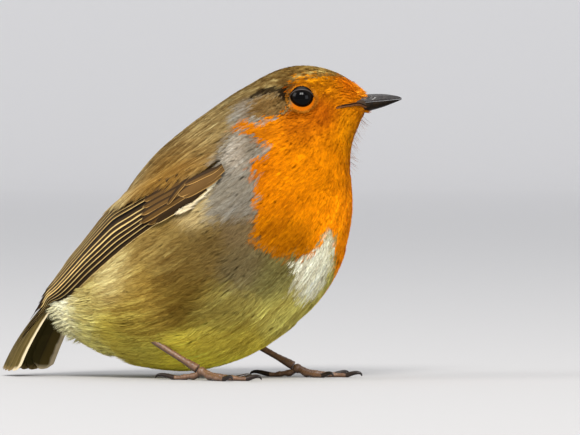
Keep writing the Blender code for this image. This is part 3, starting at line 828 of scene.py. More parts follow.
def weaveBarbs(name, centre, normal, wide, colour, rootStation, rootTurn, steps, roll=0.2):
    # flat tapering strips along centre lines: (tufts, barbs, steps, 3)
    count, barbs = centre.shape[:2]
    segments = len(steps) - 1
    forward = np.empty_like(centre)
    forward[..., :-1, :] = centre[..., 1:, :] - centre[..., :-1, :]
    forward[..., -1, :] = forward[..., -2, :]
    tilt = draw.normal(0, roll, (count, barbs))[..., None, None]
    across = unit(np.cross(normal, forward))
    across = across * np.cos(tilt) + normal * np.sin(tilt)
    wide = wide[..., None] * np.array(barbShape["taper"][segments])
    left = centre - across * wide[..., None]
    right = centre + across * wide[..., None]
    perBarb = 2 * segments + 1
    points = np.empty((count, barbs, perBarb, 3))
    points[:, :, 0:-1:2] = left[:, :, :-1]
    points[:, :, 1:-1:2] = right[:, :, :-1]
    points[:, :, -1] = centre[:, :, -1]
    start = (np.arange(count * barbs) * perBarb)[:, None]
    quads = np.concatenate([start + np.array([2 * k, 2 * k + 1, 2 * k + 3, 2 * k + 2])
                            for k in range(segments - 1)])
    tips = start + np.array([perBarb - 3, perBarb - 2, perBarb - 1])
    vertexSteps = np.concatenate([np.repeat(steps[:-1], 2), [1.0]])
    alongValue = np.broadcast_to(vertexSteps, (count, barbs, perBarb))
    shadeValue = np.broadcast_to(draw.random((count, barbs))[..., None], (count, barbs, perBarb))
    rootU = np.mod(rootTurn, 360) / 360
    rootV = (rootStation - firstStation) / (lastStation - firstStation)
    sideways = np.concatenate([np.tile([0.0, 0.8], segments), [0.4]])
    u = (np.arange(barbs)[:, None] + sideways[None]) / barbs - 0.5
    v = np.broadcast_to(vertexSteps - 0.5, (barbs, perBarb))
    patch = np.stack([u, v], -1)[None] * barbShape["bakePatch"]
    bake = (np.stack([rootU, rootV], -1)[:, None, None] + patch).reshape(-1, 2)
    colour = np.broadcast_to(colour[:, :, None], (count, barbs, perBarb, 3)).reshape(-1, 3)
    addPiece(name, points.reshape(-1, 3), [quads, tips], coatMaterial,
             {"along": alongValue, "shade": shadeValue},
             {"plumage": np.clip(colour, 0, 1)}, bake=bake, smoothShade=False)


def coatLie(turn, place, out, along, around, radial):
    # the way that the tufts run and the way toward the belly; the lie parts round the eyes
    side = np.where(np.mod(turn, 360) < 180, 1.0, -1.0)
    flow = -unit(along)
    down = unit(np.cross(out, flow))
    down = down * np.sign((down * around).sum(-1) * side)[:, None]
    reach, away = eyeReach(place)
    ratio = ((eyeShape["clear"] / np.maximum(reach, eyeShape["clear"])) ** 2)[:, None]
    bent = flow * (1 + ratio) - 2 * ratio * (flow * away).sum(-1, keepdims=True) * away
    if radial:
        bent = away + flow * radial
    speed = np.linalg.norm(bent, axis=-1)
    bent = unit(bent - out * (bent * out).sum(-1, keepdims=True))
    turned = np.arctan2((bent * down).sum(-1), (bent * flow).sum(-1))
    return flow, down, reach, speed, turned


def crossSurface(way, along, around):
    # turns each barb's way in mm into the stations and degrees of turn that it crosses
    alongSquare = (along * along).sum(-1)[:, None]
    skew = (along * around).sum(-1)[:, None]
    aroundSquare = (around * around).sum(-1)[:, None]
    wayAlong = (way * along[:, None]).sum(-1)
    wayAround = (way * around[:, None]).sum(-1)
    spanned = alongSquare * aroundSquare - skew * skew
    dStation = np.clip((aroundSquare * wayAlong - skew * wayAround) / spanned, -2.5, 2.5)
    dTurn = np.clip((alongSquare * wayAround - skew * wayAlong) / spanned, -60, 60)
    return dStation, dTurn


def clearOfEyes(centre, steps):
    # lifts what lies inside an eyeball to just over it
    for eye in eyeCentres:
        offset = centre - eye
        far = np.linalg.norm(offset, axis=-1, keepdims=True)
        clear = bodyShape["eyeRadius"] + 0.1 + 0.12 * steps[:, None]
        centre = np.where(far < clear, eye + offset / far * clear, centre)
    return centre


def growCoat(name, station, turn, options=None):
    options = options or {}
    barbs = options.get("barbs", barbShape["perTuft"])
    fanDegrees = options.get("fan", barbShape["fan"])
    gather = options.get("gather", 0.0)     # how far apart the barbs that meet at a tip start
    segments = options.get("segments", 3)
    steps = np.array(barbShape["steps"][segments])
    count = len(station)
    length, _, depth, comb, fluff, contrast = coatForm(station, turn)
    length = length * options.get("longer", 1.0)
    comb = comb + options.get("comb", 0)
    place, out, along, around = surfaceAt(station, turn)
    flow, down, reach, speed, turned = coatLie(turn, place, out, along, around,
                                               options.get("radial"))
    near = reach < 8        # mm from an eye's axis
    comb = np.radians(comb) + np.where(near, turned, 0)
    if options.get("radial"):
        length = np.full(count, options["length"])
    else:
        length = np.where(near, length * np.clip(speed, 0.45, 1), length)
        length = np.where(reach < 6, np.minimum(
            length, 0.75 + 0.55 * (reach - eyeShape["clear"])), length)
    ragged = options.get("ragged", 0.3)
    length = length * (1 - ragged / 2 + ragged * draw.random(count))
    # neighbours lean together, a little one way or the other
    lean = readStreaks(station * 2.0 + 40, turn, barbShape["leanCells"],
                       barbShape["leanPerStation"])
    comb = comb + np.radians(barbShape["lean"]) * lean * (0.35 + fluff * 1.6)
    comb = comb + np.radians(2.0) * draw.normal(0, 1, count)
    stand = barbShape["outward"] * (0.2 + fluff) * draw.random(count) + options.get("stand", 0)
    # the barbs of each fan
    fanPlace = (np.arange(barbs) - (barbs - 1) / 2) / max((barbs - 1) / 2, 1)
    spread = fanPlace[None] * np.radians(fanDegrees) * (0.7 + 0.6 * draw.random((count, 1)))
    spread = spread + draw.normal(0, 0.03, (count, barbs))
    barbLength = length[:, None] * (1 - 0.22 * fanPlace[None] ** 2) * (
        0.78 + 0.34 * draw.random((count, barbs)))
    heading = comb[:, None] + spread
    way = (np.cos(heading)[..., None] * flow[:, None]
           + np.sin(heading)[..., None] * down[:, None]) * barbLength[..., None]
    dStation, dTurn = crossSurface(way, along, around)
    stations = station[:, None, None] + dStation[..., None] * steps
    turns = turn[:, None, None] + dTurn[..., None] * steps
    stations = np.maximum(stations, firstStation + 0.01)
    centre, normal, _, _ = surfaceAt(stations, turns)
    lift = (stand[:, None] + draw.random((count, barbs)) * 0.22)[..., None]
    high = -depth[:, None, None] + (depth[:, None, None] + lift) * (1 - (1 - steps) ** 1.7)
    high = high - 0.12 * steps ** 3
    wingHigh, _, inWing = overWing(stations, turns)
    ride = options.get("overWing", 0.0)
    cover = wingHigh + 0.12 + 0.25 * draw.random((count, barbs))[..., None]
    high = np.where(inWing & (ride > 0), np.maximum(high, cover * smooth(0.0, 0.55, steps)), high)
    centre = centre + normal * high[..., None]
    if gather:
        lateral = np.cos(comb)[:, None] * down - np.sin(comb)[:, None] * flow
        apart = fanPlace[None, :, None] * gather * (1 - steps ** 1.5)
        centre = centre + lateral[:, None, None] * apart[..., None]
    if near.any():      # the lids' feathers lie over the eyeball
        centre = clearOfEyes(centre, steps)
    wide = np.interp(length, [1.0, 6.5], [barbShape["shortWidth"], barbShape["longWidth"]])
    wide = (wide * options.get("wider", 1.0))[:, None] * (0.8 + 0.4 * draw.random((count, barbs)))
    # markings are read where most of a fan shows, so its own tip carries the border
    seen = barbShape["seenAt"]
    seenStation = station + dStation.mean(1) * seen
    seenTurn = turn + dTurn.mean(1) * seen
    colour = plumageColour(seenStation, seenTurn, draw.normal(0, 0.6, count))
    if "tint" in options:
        share = options["tintShare"]
        if "tintOver" in options:
            share = share * smooth(*options["tintOver"], station)[:, None]
        colour = colour * (1 - share) + srgb(*options["tint"]) * share
    streak = streakTone(station[:, None] + dStation * seen, turn[:, None] + dTurn * seen)
    streak = streak * contrast[:, None] + 0.05 * draw.normal(0, 1, count)[:, None]
    colour = tintStreak(np.broadcast_to(colour[:, None], (count, barbs, 3)), streak)
    weaveBarbs(name, centre, normal, wide, colour, station, turn, steps)


def trianglesOf(count, barbs, segments):
    return count * barbs * (2 * segments - 1)


bodyCoat = {
    # name: from station, to station, row step, folded turn from and to, slot, options
    "coatFace": (12.4, 15.85, 0.085, 0, 181, "orange_plumage",
                 {"segments": 2, "barbs": 10, "wider": 0.95}),
    "coatCheek": (10.2, 12.4, 0.09, 0, 181, "orange_plumage", {"segments": 2, "barbs": 12}),
    "coatNape": (8.3, 10.2, 0.085, 0, 75, "olive_plumage", {}),
    "coatThroat": (8.3, 10.2, 0.085, 75, 181, "orange_plumage", {"stand": 0.2}),
    "coatMantle": (3.4, 8.3, 0.085, 0, 63, "olive_plumage", {"overWing": 1.0, "fan": 5.0}),
    "coatBreast": (6.5, 8.3, 0.075, 63, 181, "orange_plumage", {"stand": 0.6}),
    "coatSide": (4.4, 6.5, 0.085, 63, 118, "buff_plumage", {}),
    "coatBelly": (3.0, 6.5, 0.085, 118, 181, "buff_plumage", {"stand": 1.0}),
    "coatFlank": (1.8, 4.4, 0.085, 50, 118, "buff_plumage", {}),
    "coatRump": (0.6, 3.4, 0.1, 0, 50, "olive_plumage", {}),
    "coatVent": (0.75, 3.0, 0.08, 80, 181, "buff_plumage", {"fan": 5.0, "gather": 0.5, "ragged": 0.6}),
}
scapularShape = {   # the share of the wing's width that the scapulars cover, by station
    "stations": (3.3, 4.0, 4.5, 5.2, 6.0, 6.8, 7.3),
    "shares": (0.06, 0.2, 0.3, 0.34, 0.36, 0.42, 0.5),
}
mostTriangles = 190000      # a coat piece with more is parted


def growBodyCoat():
    total = 0
    for name, (first, last, step, low, high, slot, options) in bodyCoat.items():
        station, turn = sowRoots(first, last, step, low, high)
        place, _, _, _ = surfaceAt(station, turn)
        keep = eyeReach(place)[0] > eyeShape["clear"]
        _, share, inWing = overWing(station, turn)
        reach = np.interp(station, scapularShape["stations"], scapularShape["shares"])
        under = inWing & (share > reach) & (share < 0.94) & (station < 6.8)
        keep &= ~under
        station, turn = station[keep], turn[keep]
        segments = options.get("segments", 3)
        barbs = options.get("barbs", barbShape["perTuft"])
        number = trianglesOf(len(station), barbs, segments)
        total += number
        pieces = math.ceil(number / mostTriangles)
        for i in range(pieces):
            part = slice(i, None, pieces)
            growCoat(name if pieces == 1 else name + "_%d" % (i + 1), station[part], turn[part],
                     options)
        print("robin:", name, "has", len(station), "tufts and", number, "triangles")
    print("robin: the coat has", total, "triangles")


growBodyCoat()


def growEyeRings():     # the smallest feathers of all stand in a ring round each lid
    station, turn = sowRoots(9.6, 12.0, 0.04, 20, 110, closer=2.2)
    place, _, _, _ = surfaceAt(station, turn)
    reach = eyeReach(place)[0]
    keep = (reach > 2.95) & (reach < 3.55)
    growCoat("coatEyeRings", station[keep], turn[keep], {
        "segments": 2, "barbs": 7, "radial": 0.35, "length": 0.85, "fan": 16, "wider": 0.8,
        "stand": 0.15, "tint": (206, 136, 40), "tintShare": 0.55})


growEyeRings()


def growForward(name, station, turn, heading, length, options=None):
    # feathers at the face's front edge that point ahead over the bill, on straight lines
    options = options or {}
    barbs = options.get("barbs", 9)
    count = len(station)
    steps = np.array(barbShape["steps"][2])
    place, out, along, _ = surfaceAt(station, turn)
    ahead = headPlace(1.0, 0.0, 0.0) - headPlace(0.0, 0.0, 0.0)
    way = unit(heading(ahead, out, unit(along)))
    spread = draw.normal(0, options.get("fan", 0.16), (count, barbs, 3))
    way = unit(way[:, None] + spread)
    reach = length[:, None] * (0.6 + 0.5 * draw.random((count, barbs)))
    base = place - out * options.get("depth", 0.4)
    bend = options.get("bend", 0.0) * steps ** 2
    centre = (base[:, None, None] + way[:, :, None] * (reach[..., None] * steps)[..., None]
              + out[:, None, None] * (options.get("rise", 0.5) * steps ** 0.8)[:, None]
              - np.array([0, 0, 1.0]) * (bend * reach[..., None])[..., None])
    normal = np.broadcast_to(out[:, None, None], centre.shape)
    wide = np.full((count, barbs), options.get("wide", 0.09))
    colour = plumageColour(np.minimum(station, 15.8), turn, draw.normal(0, 0.5, count))
    if "tint" in options:
        colour = colour * (1 - options["tintShare"]) + srgb(*options["tint"]) * options["tintShare"]
    streak = draw.normal(0, options.get("contrast", 0.2), (count, barbs))
    colour = tintStreak(np.broadcast_to(colour[:, None], (count, barbs, 3)), streak)
    weaveBarbs(name, centre, normal, wide, colour, station, turn, steps, roll=0.5)


def growFaceEdge():
    # over the base of the upper bill
    station, turn = sowRoots(14.9, 15.98, 0.05, 0, 66, closer=1.3)
    fold = foldTurn(turn)
    length = 1.4 + 0.6 * np.exp(-((fold - 44) / 22) ** 2)
    growForward("frontalFeathers", station, turn,
                lambda ahead, out, along: ahead + 0.9 * along - 0.1 * out, length,
                {"depth": 0.5, "rise": 0.25, "fan": 0.14, "tint": (206, 126, 24),
                 "tintShare": 0.55, "contrast": 0.34})
    # a wedge under the base of the lower bill
    station, turn = sowRoots(15.0, 15.98, 0.05, 138, 181, closer=1.3)
    fold = foldTurn(turn)
    length = 0.9 + 1.3 * smooth(140, 176, fold)
    growForward("chinFeathers", station, turn,
                lambda ahead, out, along: ahead * 1.1 + 0.2 * along, length,
                {"depth": 0.4, "rise": 0.12})
    # dark bristles at the corners of the mouth, and loose hairs under the chin
    station, turn = sowRoots(13.2, 15.2, 0.1, 92, 112, closer=0.75)
    growForward("bristles", station, turn,
                lambda ahead, out, along: ahead + 0.35 * out - np.array([0, 0, 0.55]),
                1.6 + 1.6 * draw.random(len(station)),
                {"barbs": 2, "wide": 0.04, "tint": (40, 26, 14), "tintShare": 0.9,
                 "rise": 0.3, "fan": 0.2, "bend": 0.2})
    station, turn = sowRoots(10.4, 14.8, 0.2, 150, 181, closer=0.4)
    growForward("chinHairs", station, turn,
                lambda ahead, out, along: out * 0.5 - along * 0.9 + 0.35 * ahead,
                2.4 + 1.6 * draw.random(len(station)),
                {"barbs": 2, "wide": 0.034, "tint": (110, 80, 54), "tintShare": 0.6,
                 "rise": 1.1, "fan": 0.2})


growFaceEdge()


wingLine = {    # the cream feathers that lie along the bend of the wing
    "outline": [(7.2, 69.5), (6.8, 68.7), (6.45, 69), (6.1, 70.5), (5.95, 73.8), (6.18, 76),
                (6.55, 75.2), (6.88, 74.2), (7.2, 72.2)],
    "colour": (232, 218, 182),
}


def growWingLine():
    station, turn = sowRoots(5.5, 7.2, 0.05, 68, 82, closer=1.5)
    keep = insideOutline(wingLine["outline"], station, foldTurn(turn))
    growCoat("creamLine", station[keep], turn[keep], {
        "fan": 2.5, "longer": 0.9, "stand": 1.6, "comb": -1, "tint": wingLine["colour"],
        "tintShare": 0.88, "ragged": 0.2})


growWingLine()


def growVentFluff():    # loose pale plumes that hang over the root of the tail
    station, turn = sowRoots(0.75, 2.4, 0.09, 84, 181, closer=0.7)
    growCoat("ventFluff", station, turn, {
        "fan": 7.0, "gather": 0.35, "longer": 0.95, "stand": 0.7, "tint": (236, 230, 196),
        "tintShare": 0.7, "tintOver": (2.3, 0.9), "ragged": 0.8, "wider": 0.8})


growVentFluff()


def growVentTips():     # their free ends, that point back over the tail
    station, turn = sowRoots(-0.1, 1.25, 0.12, 92, 181, closer=0.8)
    size = 2.6 + 1.8 * draw.random(len(station))
    growForward("ventTips", station, turn,
                lambda ahead, out, along: np.array([-1.0, 0, -0.42]) + 0.08 * out, size,
                {"barbs": 12, "fan": 0.05, "depth": 0.8, "rise": 0.1, "wide": 0.11,
                 "tint": (228, 222, 176), "tintShare": 0.6, "contrast": 0.1})


growVentTips()


# Flight feathers, coverts and tail: thin vanes with a shaft

vaneFinish = {
    "roughness": 0.55,
    "shine": 0.06,
    "shaftColour": (52, 38, 24),
    "shaftShare": 0.7,      # how much of its colour shows
    "barbSpacing": 0.32,    # mm from one barb to the next
    "barbContrast": 0.09,
    # name: inner web, outer web, edge and tip colours, width of the edge and length of the tip
    "kinds": {
        # the near-black inner webs of the flight and secondary vanes are partly their own dark brown
        # and partly painted shade under the edge of the vane that overlaps them
        "flightVanes": ((13, 9, 5), (54, 39, 22), (226, 194, 126), (112, 90, 58), 0.085, 0.03),
        "secondaryVanes": ((19, 14, 8), (84, 64, 36), (216, 184, 118), (130, 104, 66), 0.08, 0.03),
        "tertialVanes": ((84, 62, 34), (124, 96, 54), (176, 144, 90), (150, 122, 78), 0.09, 0.04),
        "covertVanes": ((54, 39, 22), (93, 67, 33), (168, 130, 72), (146, 116, 70), 0.12, 0.05),
        "tailVanes": ((66, 58, 26), (86, 72, 35), (104, 86, 50), (124, 104, 66), 0.08, 0.03),
        "tailEdgeVanes": ((66, 58, 26), (88, 74, 34), (218, 200, 164), (206, 188, 152), 0.10, 0.03),
    },
}


def makeVaneMaterial(name, innerWeb, outerWeb, edge, tip, edgeWidth, tipShare):
    material, tree, shader = newMaterial(name, vaneFinish["roughness"])
    shader.inputs["Specular IOR Level"].default_value = vaneFinish["shine"]
    across = readAttribute(tree, "across")      # 0 at the hidden web's edge, 1 at the seen one
    along = readAttribute(tree, "along")        # 0 at the root, 1 at the tip
    barb = readAttribute(tree, "barb")          # mm along the barbs' slant
    shade = readAttribute(tree, "shade")
    shaft = readAttribute(tree, "shaftPlace")
    pastShaft = addMath(tree, "SUBTRACT", across, shaft)
    web = addMath(tree, "MULTIPLY", addMath(tree, "ADD", pastShaft, 0.03), 7.0, clamp=True)
    base = addMix(tree, web, srgb(*innerWeb), srgb(*outerWeb))
    noise = addNoise(tree, 420.0, 3.0)
    wobble = addMath(tree, "MULTIPLY", addMath(tree, "SUBTRACT", noise, 0.5), 0.06)
    border = addMath(tree, "ADD", across, wobble)
    rim = addRamp(tree, border, 1 - edgeWidth, 2.2 / edgeWidth)
    base = addMix(tree, rim, base, srgb(*edge))
    tipMask = addRamp(tree, along, 1 - tipShare, 1.3 / tipShare)
    base = addMix(tree, tipMask, base, srgb(*tip))
    offShaft = addMath(tree, "ABSOLUTE", pastShaft)
    line = addMath(tree, "SUBTRACT", 1.0, addMath(tree, "MULTIPLY", offShaft, 34.0), clamp=True)
    base = addMix(tree, addMath(tree, "MULTIPLY", line, vaneFinish["shaftShare"]), base,
                  srgb(*vaneFinish["shaftColour"]))
    ripple = addMath(tree, "SINE", addMath(
        tree, "MULTIPLY", barb, 2 * math.pi / vaneFinish["barbSpacing"]))
    # painted shade at the vanes' roots, 0.75 of their colour
    tone = placeGroup(tree, plumageTone, Colour=base, Shade=shade, Root=0.75, Variation=0.28,
                      Mottle=0.22)
    tree.links.new(along, tone.inputs["Along"])
    streak = addMath(tree, "ADD", 1.0, addMath(tree, "MULTIPLY", ripple, vaneFinish["barbContrast"]))
    tree.links.new(scaleColour(tree, tone.outputs["Colour"], streak), shader.inputs["Base Color"])
    addBump(tree, shader, ripple, 0.35, 0.00008)
    return material


vaneMaterials = {name: makeVaneMaterial(name, *values)
                 for name, values in vaneFinish["kinds"].items()}

wingPlan = {
    "flightRoot": 5.0,
    "bodyEnd": -1.9,        # the station where the longest feathers leave the body
    "shaftPlace": 0.68,     # where a flight feather's shaft runs, from its hidden web's edge
    "tertialTips": (1.9, 1.0, 0.1),
    "secondaryTips": (-0.35, -0.65, -0.9, -1.1),
    "primaryTips": (-1.4, -1.7, -2.0, -2.3, -2.6, -2.85),
    "beyondWay": (-4.2, 2.4, -6.1),     # where a station's length past the body leads, in mm
    # the share of the wing's width that the tertials and secondaries take, by station
    "innerStations": (-1.95, -1.4, -0.4, 0.6, 1.6, 2.6, 3.6),
    "innerShares": (0.66, 0.77, 0.81, 0.73, 0.66, 0.60, 0.54),
    "tuck": 0.5,                # how far a vane's hidden web lies below the next, in mm
    "lip": 0.12,                # how far its seen edge stands up
    "rows": 44, "columns": 11,
    "covertRows": 16, "covertColumns": 9,
    "covertRoundness": 0.35,    # share of a covert's length that is its rounded end
    # coverts: station and share of the wing's width at the root, the same at the tip,
    # half width, rise and shaft place
    "coverts": [
        (6.4, 0.26, 4.95, 0.30, 1.5, 0.10, 0.5), (6.4, 0.38, 4.88, 0.43, 1.4, 0.12, 0.5),
        (6.4, 0.48, 4.84, 0.55, 1.3, 0.14, 0.5), (6.4, 0.58, 4.77, 0.66, 1.2, 0.12, 0.5),
        (6.4, 0.68, 4.67, 0.77, 1.15, 0.10, 0.5), (6.4, 0.78, 4.56, 0.88, 1.1, 0.06, 0.5),
        (6.3, 0.90, 4.75, 0.965, 0.75, 0.0, 0.5),
    ],
    # a dark vane under the wing's bend that is painted shadow there; its shaft place is beside it, so
    # no shaft shows
    "gap": (6.6, 0.90, 4.95, 1.0, 0.9, 0.16, -0.5),
    "alula": [
        (7.1, 0.82, 5.95, 0.84, 0.85, 0.30, 0.4), (7.25, 0.70, 5.85, 0.76, 1.5, 0.36, 0.25),
        (6.35, 0.50, 5.5, 0.84, 0.8, 0.66, 0.5), (7.25, 0.58, 6.1, 0.63, 0.9, 0.5, 0.5),
    ],
}


def innerEdge(station):
    return np.interp(station, wingPlan["innerStations"], wingPlan["innerShares"])


def runLength(line):
    # how far each point of a line is from its start, along it
    return np.concatenate([[0], np.cumsum(np.linalg.norm(np.diff(line, axis=0), axis=-1))])


def addFlightVane(maker, side, upperLine, lowerLine, tip, level, shade, blunt=0.82):
    # a vane that runs along the wing between two lines of share, with its tip at a station
    rows, columns = wingPlan["rows"], wingPlan["columns"]
    t = np.linspace(0, 1, rows)[:, None]
    v = np.linspace(0, 1, columns)[None]
    root = wingPlan["flightRoot"]
    shaft = wingPlan["shaftPlace"]
    pull = np.where(v > shaft, (v - shaft) / (1 - shaft), (shaft - v) / shaft)
    reach = t * (1 - 0.05 * pull ** 2 * smooth(0.7, 1, t))
    station = root + (tip - root) * reach
    beyond = np.maximum(wingPlan["bodyEnd"] - station, 0)   # the longest lie over the tail's root
    station = np.maximum(station, wingPlan["bodyEnd"])
    narrow = smooth(blunt, 1.0, t) ** 1.6
    upper, lower = upperLine(station), lowerLine(station)
    width = lower - upper
    lowEdge = lower - width * 0.30 * narrow
    share = lowEdge - (1 - v) * width * (1 - 0.72 * narrow)
    base = wingRise(np.clip(station, -1.95, 6), np.clip(share, 0, 1)) - 0.25
    height = base + wingPlan["lip"] * v - wingPlan["tuck"] * (1 - v) ** 1.2
    height = height - 0.1 * smooth(0.92, 1, v) + level
    height = height - 0.35 * smooth(0.7, 0.0, t) - 0.10 * narrow
    height = np.maximum(height, 0.12)
    points = wingPlace(side, station + 0 * v, share, height)
    points = points + np.array(wingPlan["beyondWay"]) * (1, side, 1) * beyond[..., None]
    widthMm = np.linalg.norm(points[:, -1] - points[:, 0], axis=-1)[:, None]
    barb = runLength(points[:, columns // 2])[:, None] - np.abs(v - shaft) * widthMm * 1.4
    maker.addGrid(points, {"across": v, "along": t, "barb": barb, "shade": shade,
                           "shaftPlace": shaft})


def addCovert(maker, side, row, shade, shaft):
    # a short round-ended vane that lies on the wing
    rootStation, rootShare, tipStation, tipShare, halfWidth, rise, _ = row
    rows, columns = wingPlan["covertRows"], wingPlan["covertColumns"]
    roundness = wingPlan["covertRoundness"]
    t = np.linspace(0, 1, rows)[:, None]
    v = np.linspace(0, 1, columns)[None]
    station = rootStation + (tipStation - rootStation) * t
    share = rootShare + (tipShare - rootShare) * t
    first = wingPlace(side, station[:, 0], np.zeros(rows), np.zeros(rows))
    second = wingPlace(side, station[:, 0], np.ones(rows), np.zeros(rows))
    wingWidth = np.linalg.norm(second - first, axis=-1)[:, None]
    end = np.sqrt(np.clip(1 - np.clip((t - (1 - roundness)) / roundness, 0, 1) ** 2.4, 0, 1))
    half = halfWidth * (0.55 + 0.45 * smooth(0, 0.35, t)) * np.maximum(end, 0.06)
    share = share + (2 * v - 1) * half / wingWidth
    height = wingRise(np.clip(station + 0 * v, -1.95, 6.9), np.clip(share, 0, 1))
    arch = 1 - (2 * v - 1) ** 2
    height = height + rise * smooth(-0.1, 0.6, t) + 0.16 * arch - 0.15 * t ** 3
    height = height + 0.10 * (v - 0.5)
    points = wingPlace(side, station + 0 * v, share, height)
    barb = runLength(points[:, columns // 2])[:, None] - np.abs(v - shaft) * halfWidth * 2.6
    maker.addGrid(points, {"across": v, "along": t, "barb": barb, "shade": shade,
                           "shaftPlace": shaft})


def makeWing(sideName, side):
    flight, secondary, tertial, covert = (PieceMaker() for _ in range(4))
    tertials, secondaries = wingPlan["tertialTips"], wingPlan["secondaryTips"]
    inner = len(tertials) + len(secondaries)
    outer = len(wingPlan["primaryTips"])

    def innerLine(k):
        return lambda s: innerEdge(s) * (np.clip(k, 0, inner) / inner) ** 0.85

    def outerLine(k):
        return lambda s: innerEdge(s) + (1 - innerEdge(s)) * (np.clip(k, 0, outer) / outer) ** 0.72

    for j, tip in enumerate(wingPlan["primaryTips"]):
        upper = outerLine(j - 1.2) if j > 1 else innerLine(inner - 2)
        addFlightVane(flight, side, upper, outerLine(j + 1), tip, -0.05 * j, draw.random(),
                      blunt=0.91)
    for i, tip in enumerate(secondaries):
        k = i + len(tertials)
        addFlightVane(secondary, side, innerLine(k - 1.4), innerLine(k + 1), tip,
                      -0.02 * i + 0.1, draw.random())
    for i, tip in enumerate(tertials):
        addFlightVane(tertial, side, innerLine(max(i - 1.2, 0)), innerLine(i + 1.15), tip,
                      0.32 - 0.08 * i, draw.random(), blunt=0.72)
    for row in wingPlan["coverts"] + wingPlan["alula"]:
        addCovert(covert, side, row, draw.random(), row[-1])
    # the dark vane under the wing's bend, painted shadow
    addCovert(flight, side, wingPlan["gap"], 0.2, wingPlan["gap"][-1])
    wing = "wing_" + sideName
    flight.finish("flight_" + sideName, vaneMaterials["flightVanes"], "flight_feathers",
                  (wing + "_primaries",))
    secondary.finish("secondaries_" + sideName, vaneMaterials["secondaryVanes"], "flight_feathers")
    tertial.finish("tertials_" + sideName, vaneMaterials["tertialVanes"], "flight_feathers",
                   (wing + "_secondaries",))
    covert.finish("coverts_" + sideName, vaneMaterials["covertVanes"], "olive_plumage",
                  (wing + "_coverts", wing + "_alula"))


makeWing("right", -1)
makeWing("left", 1)

tailShape = {
    "root": (-27.0, 40.4), "tip": (-62.2, 1.0),     # forward and up
    "bulge": 2.7,           # how far it bows up between its root and the floor
    "arch": 5.4,            # how much lower its edges hang than its middle
    "droop": 2.0,           # and how much more the left edge does
    "halfWidth": 8.6,
    "pairs": 6,
    "vaneHalf": 1.9,
    "firstOffset": 0.55,    # from the middle to the first feather on each side, in mm
    "spacing": 1.25,        # and from one feather to the next
    "shaftPlace": 0.66,
    "rows": 40, "columns": 11,
}


def makeTail():
    inner, outermost = PieceMaker(), PieceMaker()
    root = np.array([tailShape["root"][0], 0, tailShape["root"][1]])
    tip = np.array([tailShape["tip"][0], 0, tailShape["tip"][1]])
    length = np.linalg.norm(tip - root)
    along = (tip - root) / length
    top = np.array([along[2], 0, -along[0]])
    t = np.linspace(0, 1, tailShape["rows"])[:, None]
    v = np.linspace(0, 1, tailShape["columns"])[None]
    last = tailShape["pairs"] - 1
    for k in reversed(range(tailShape["pairs"])):
        for side in (-1, 1):
            offset = side * (tailShape["firstOffset"] + tailShape["spacing"] * k) * (
                0.55 + 0.45 * smooth(0.25, 0.95, t))
            shaft = 0.5 if k == 0 else tailShape["shaftPlace"]
            end = smooth(0.94, 1.0, t)
            half = tailShape["vaneHalf"] * (0.45 + 0.55 * smooth(0, 0.5, t)) * (1 - 0.5 * end ** 3)
            across = (2 * v - 1) * side
            sideways = offset + across * half + side * 0.35 * end * (0 if k == 0 else 1)
            pointed = np.abs(v - shaft) ** 2 * 4
            notch = 1.2 * (1 - k / last) + 0.9 * (k / last) ** 4
            share = sideways / tailShape["halfWidth"]
            fall = tailShape["arch"] * share ** 2 + tailShape["droop"] * np.clip(share, 0, 1)
            fall = fall * smooth(0.0, 0.35, t)
            reach = (length - notch - 0.89 * fall) * t - 0.9 * pointed * smooth(0.85, 1.0, t)
            height = 0.5 - 0.15 * k - fall
            height = height + tailShape["bulge"] * (1 - np.abs(2 * t - 1) ** 3.2)
            height = height + 0.14 * (1 - (2 * v - 1) ** 2) - 0.16 * (1 - v)
            height = height + 0.06 * side * (k == 0)
            points = root + along * reach[..., None]
            points = points + np.array([0, 1, 0]) * sideways[..., None] + top * height[..., None]
            points[..., 2] = np.maximum(points[..., 2], 0.06)
            barb = reach - np.abs(v - shaft) * half * 2.8
            seen = v ** 0.5 if k == last else v     # the outermost has a pale web
            maker = outermost if k == last else inner
            maker.addGrid(points, {"across": seen, "along": t, "barb": barb,
                                   "shade": draw.random(), "shaftPlace": shaft})
    inner.finish("tailFeathers", vaneMaterials["tailVanes"], "flight_feathers", ("tail",))
    outermost.finish("tailEdges", vaneMaterials["tailEdgeVanes"], "flight_feathers")


makeTail()
print("robin: the wings and tail are made")


# Legs, toes and claws

legShape = {
    "right": {"knee": (-18.2, -17.5, 14.9), "ball": (3.0, -17.8, 2.2), "aim": -8.0},
    "left": {"knee": (-4.2, 14.4, 14.8), "ball": (18.4, 15.6, 2.2), "aim": 4.0},
    "radii": (0.95, 0.85, 1.2),     # heel, shank, above the foot
    # degrees from the leg's aim with outwards positive, length, claw length
    "toes": {"inner": (-30, 9.6, 4.2), "middle": (0, 13.6, 4.6), "outer": (27, 10.2, 4.2),
             "hind": (176, 8.2, 6.0)},
    "toeRadii": (0.95, 0.62),
    "sink": 0.12,
    "scute": 1.55,                  # length of a scale on the shank
    "toeScute": 0.95,
}


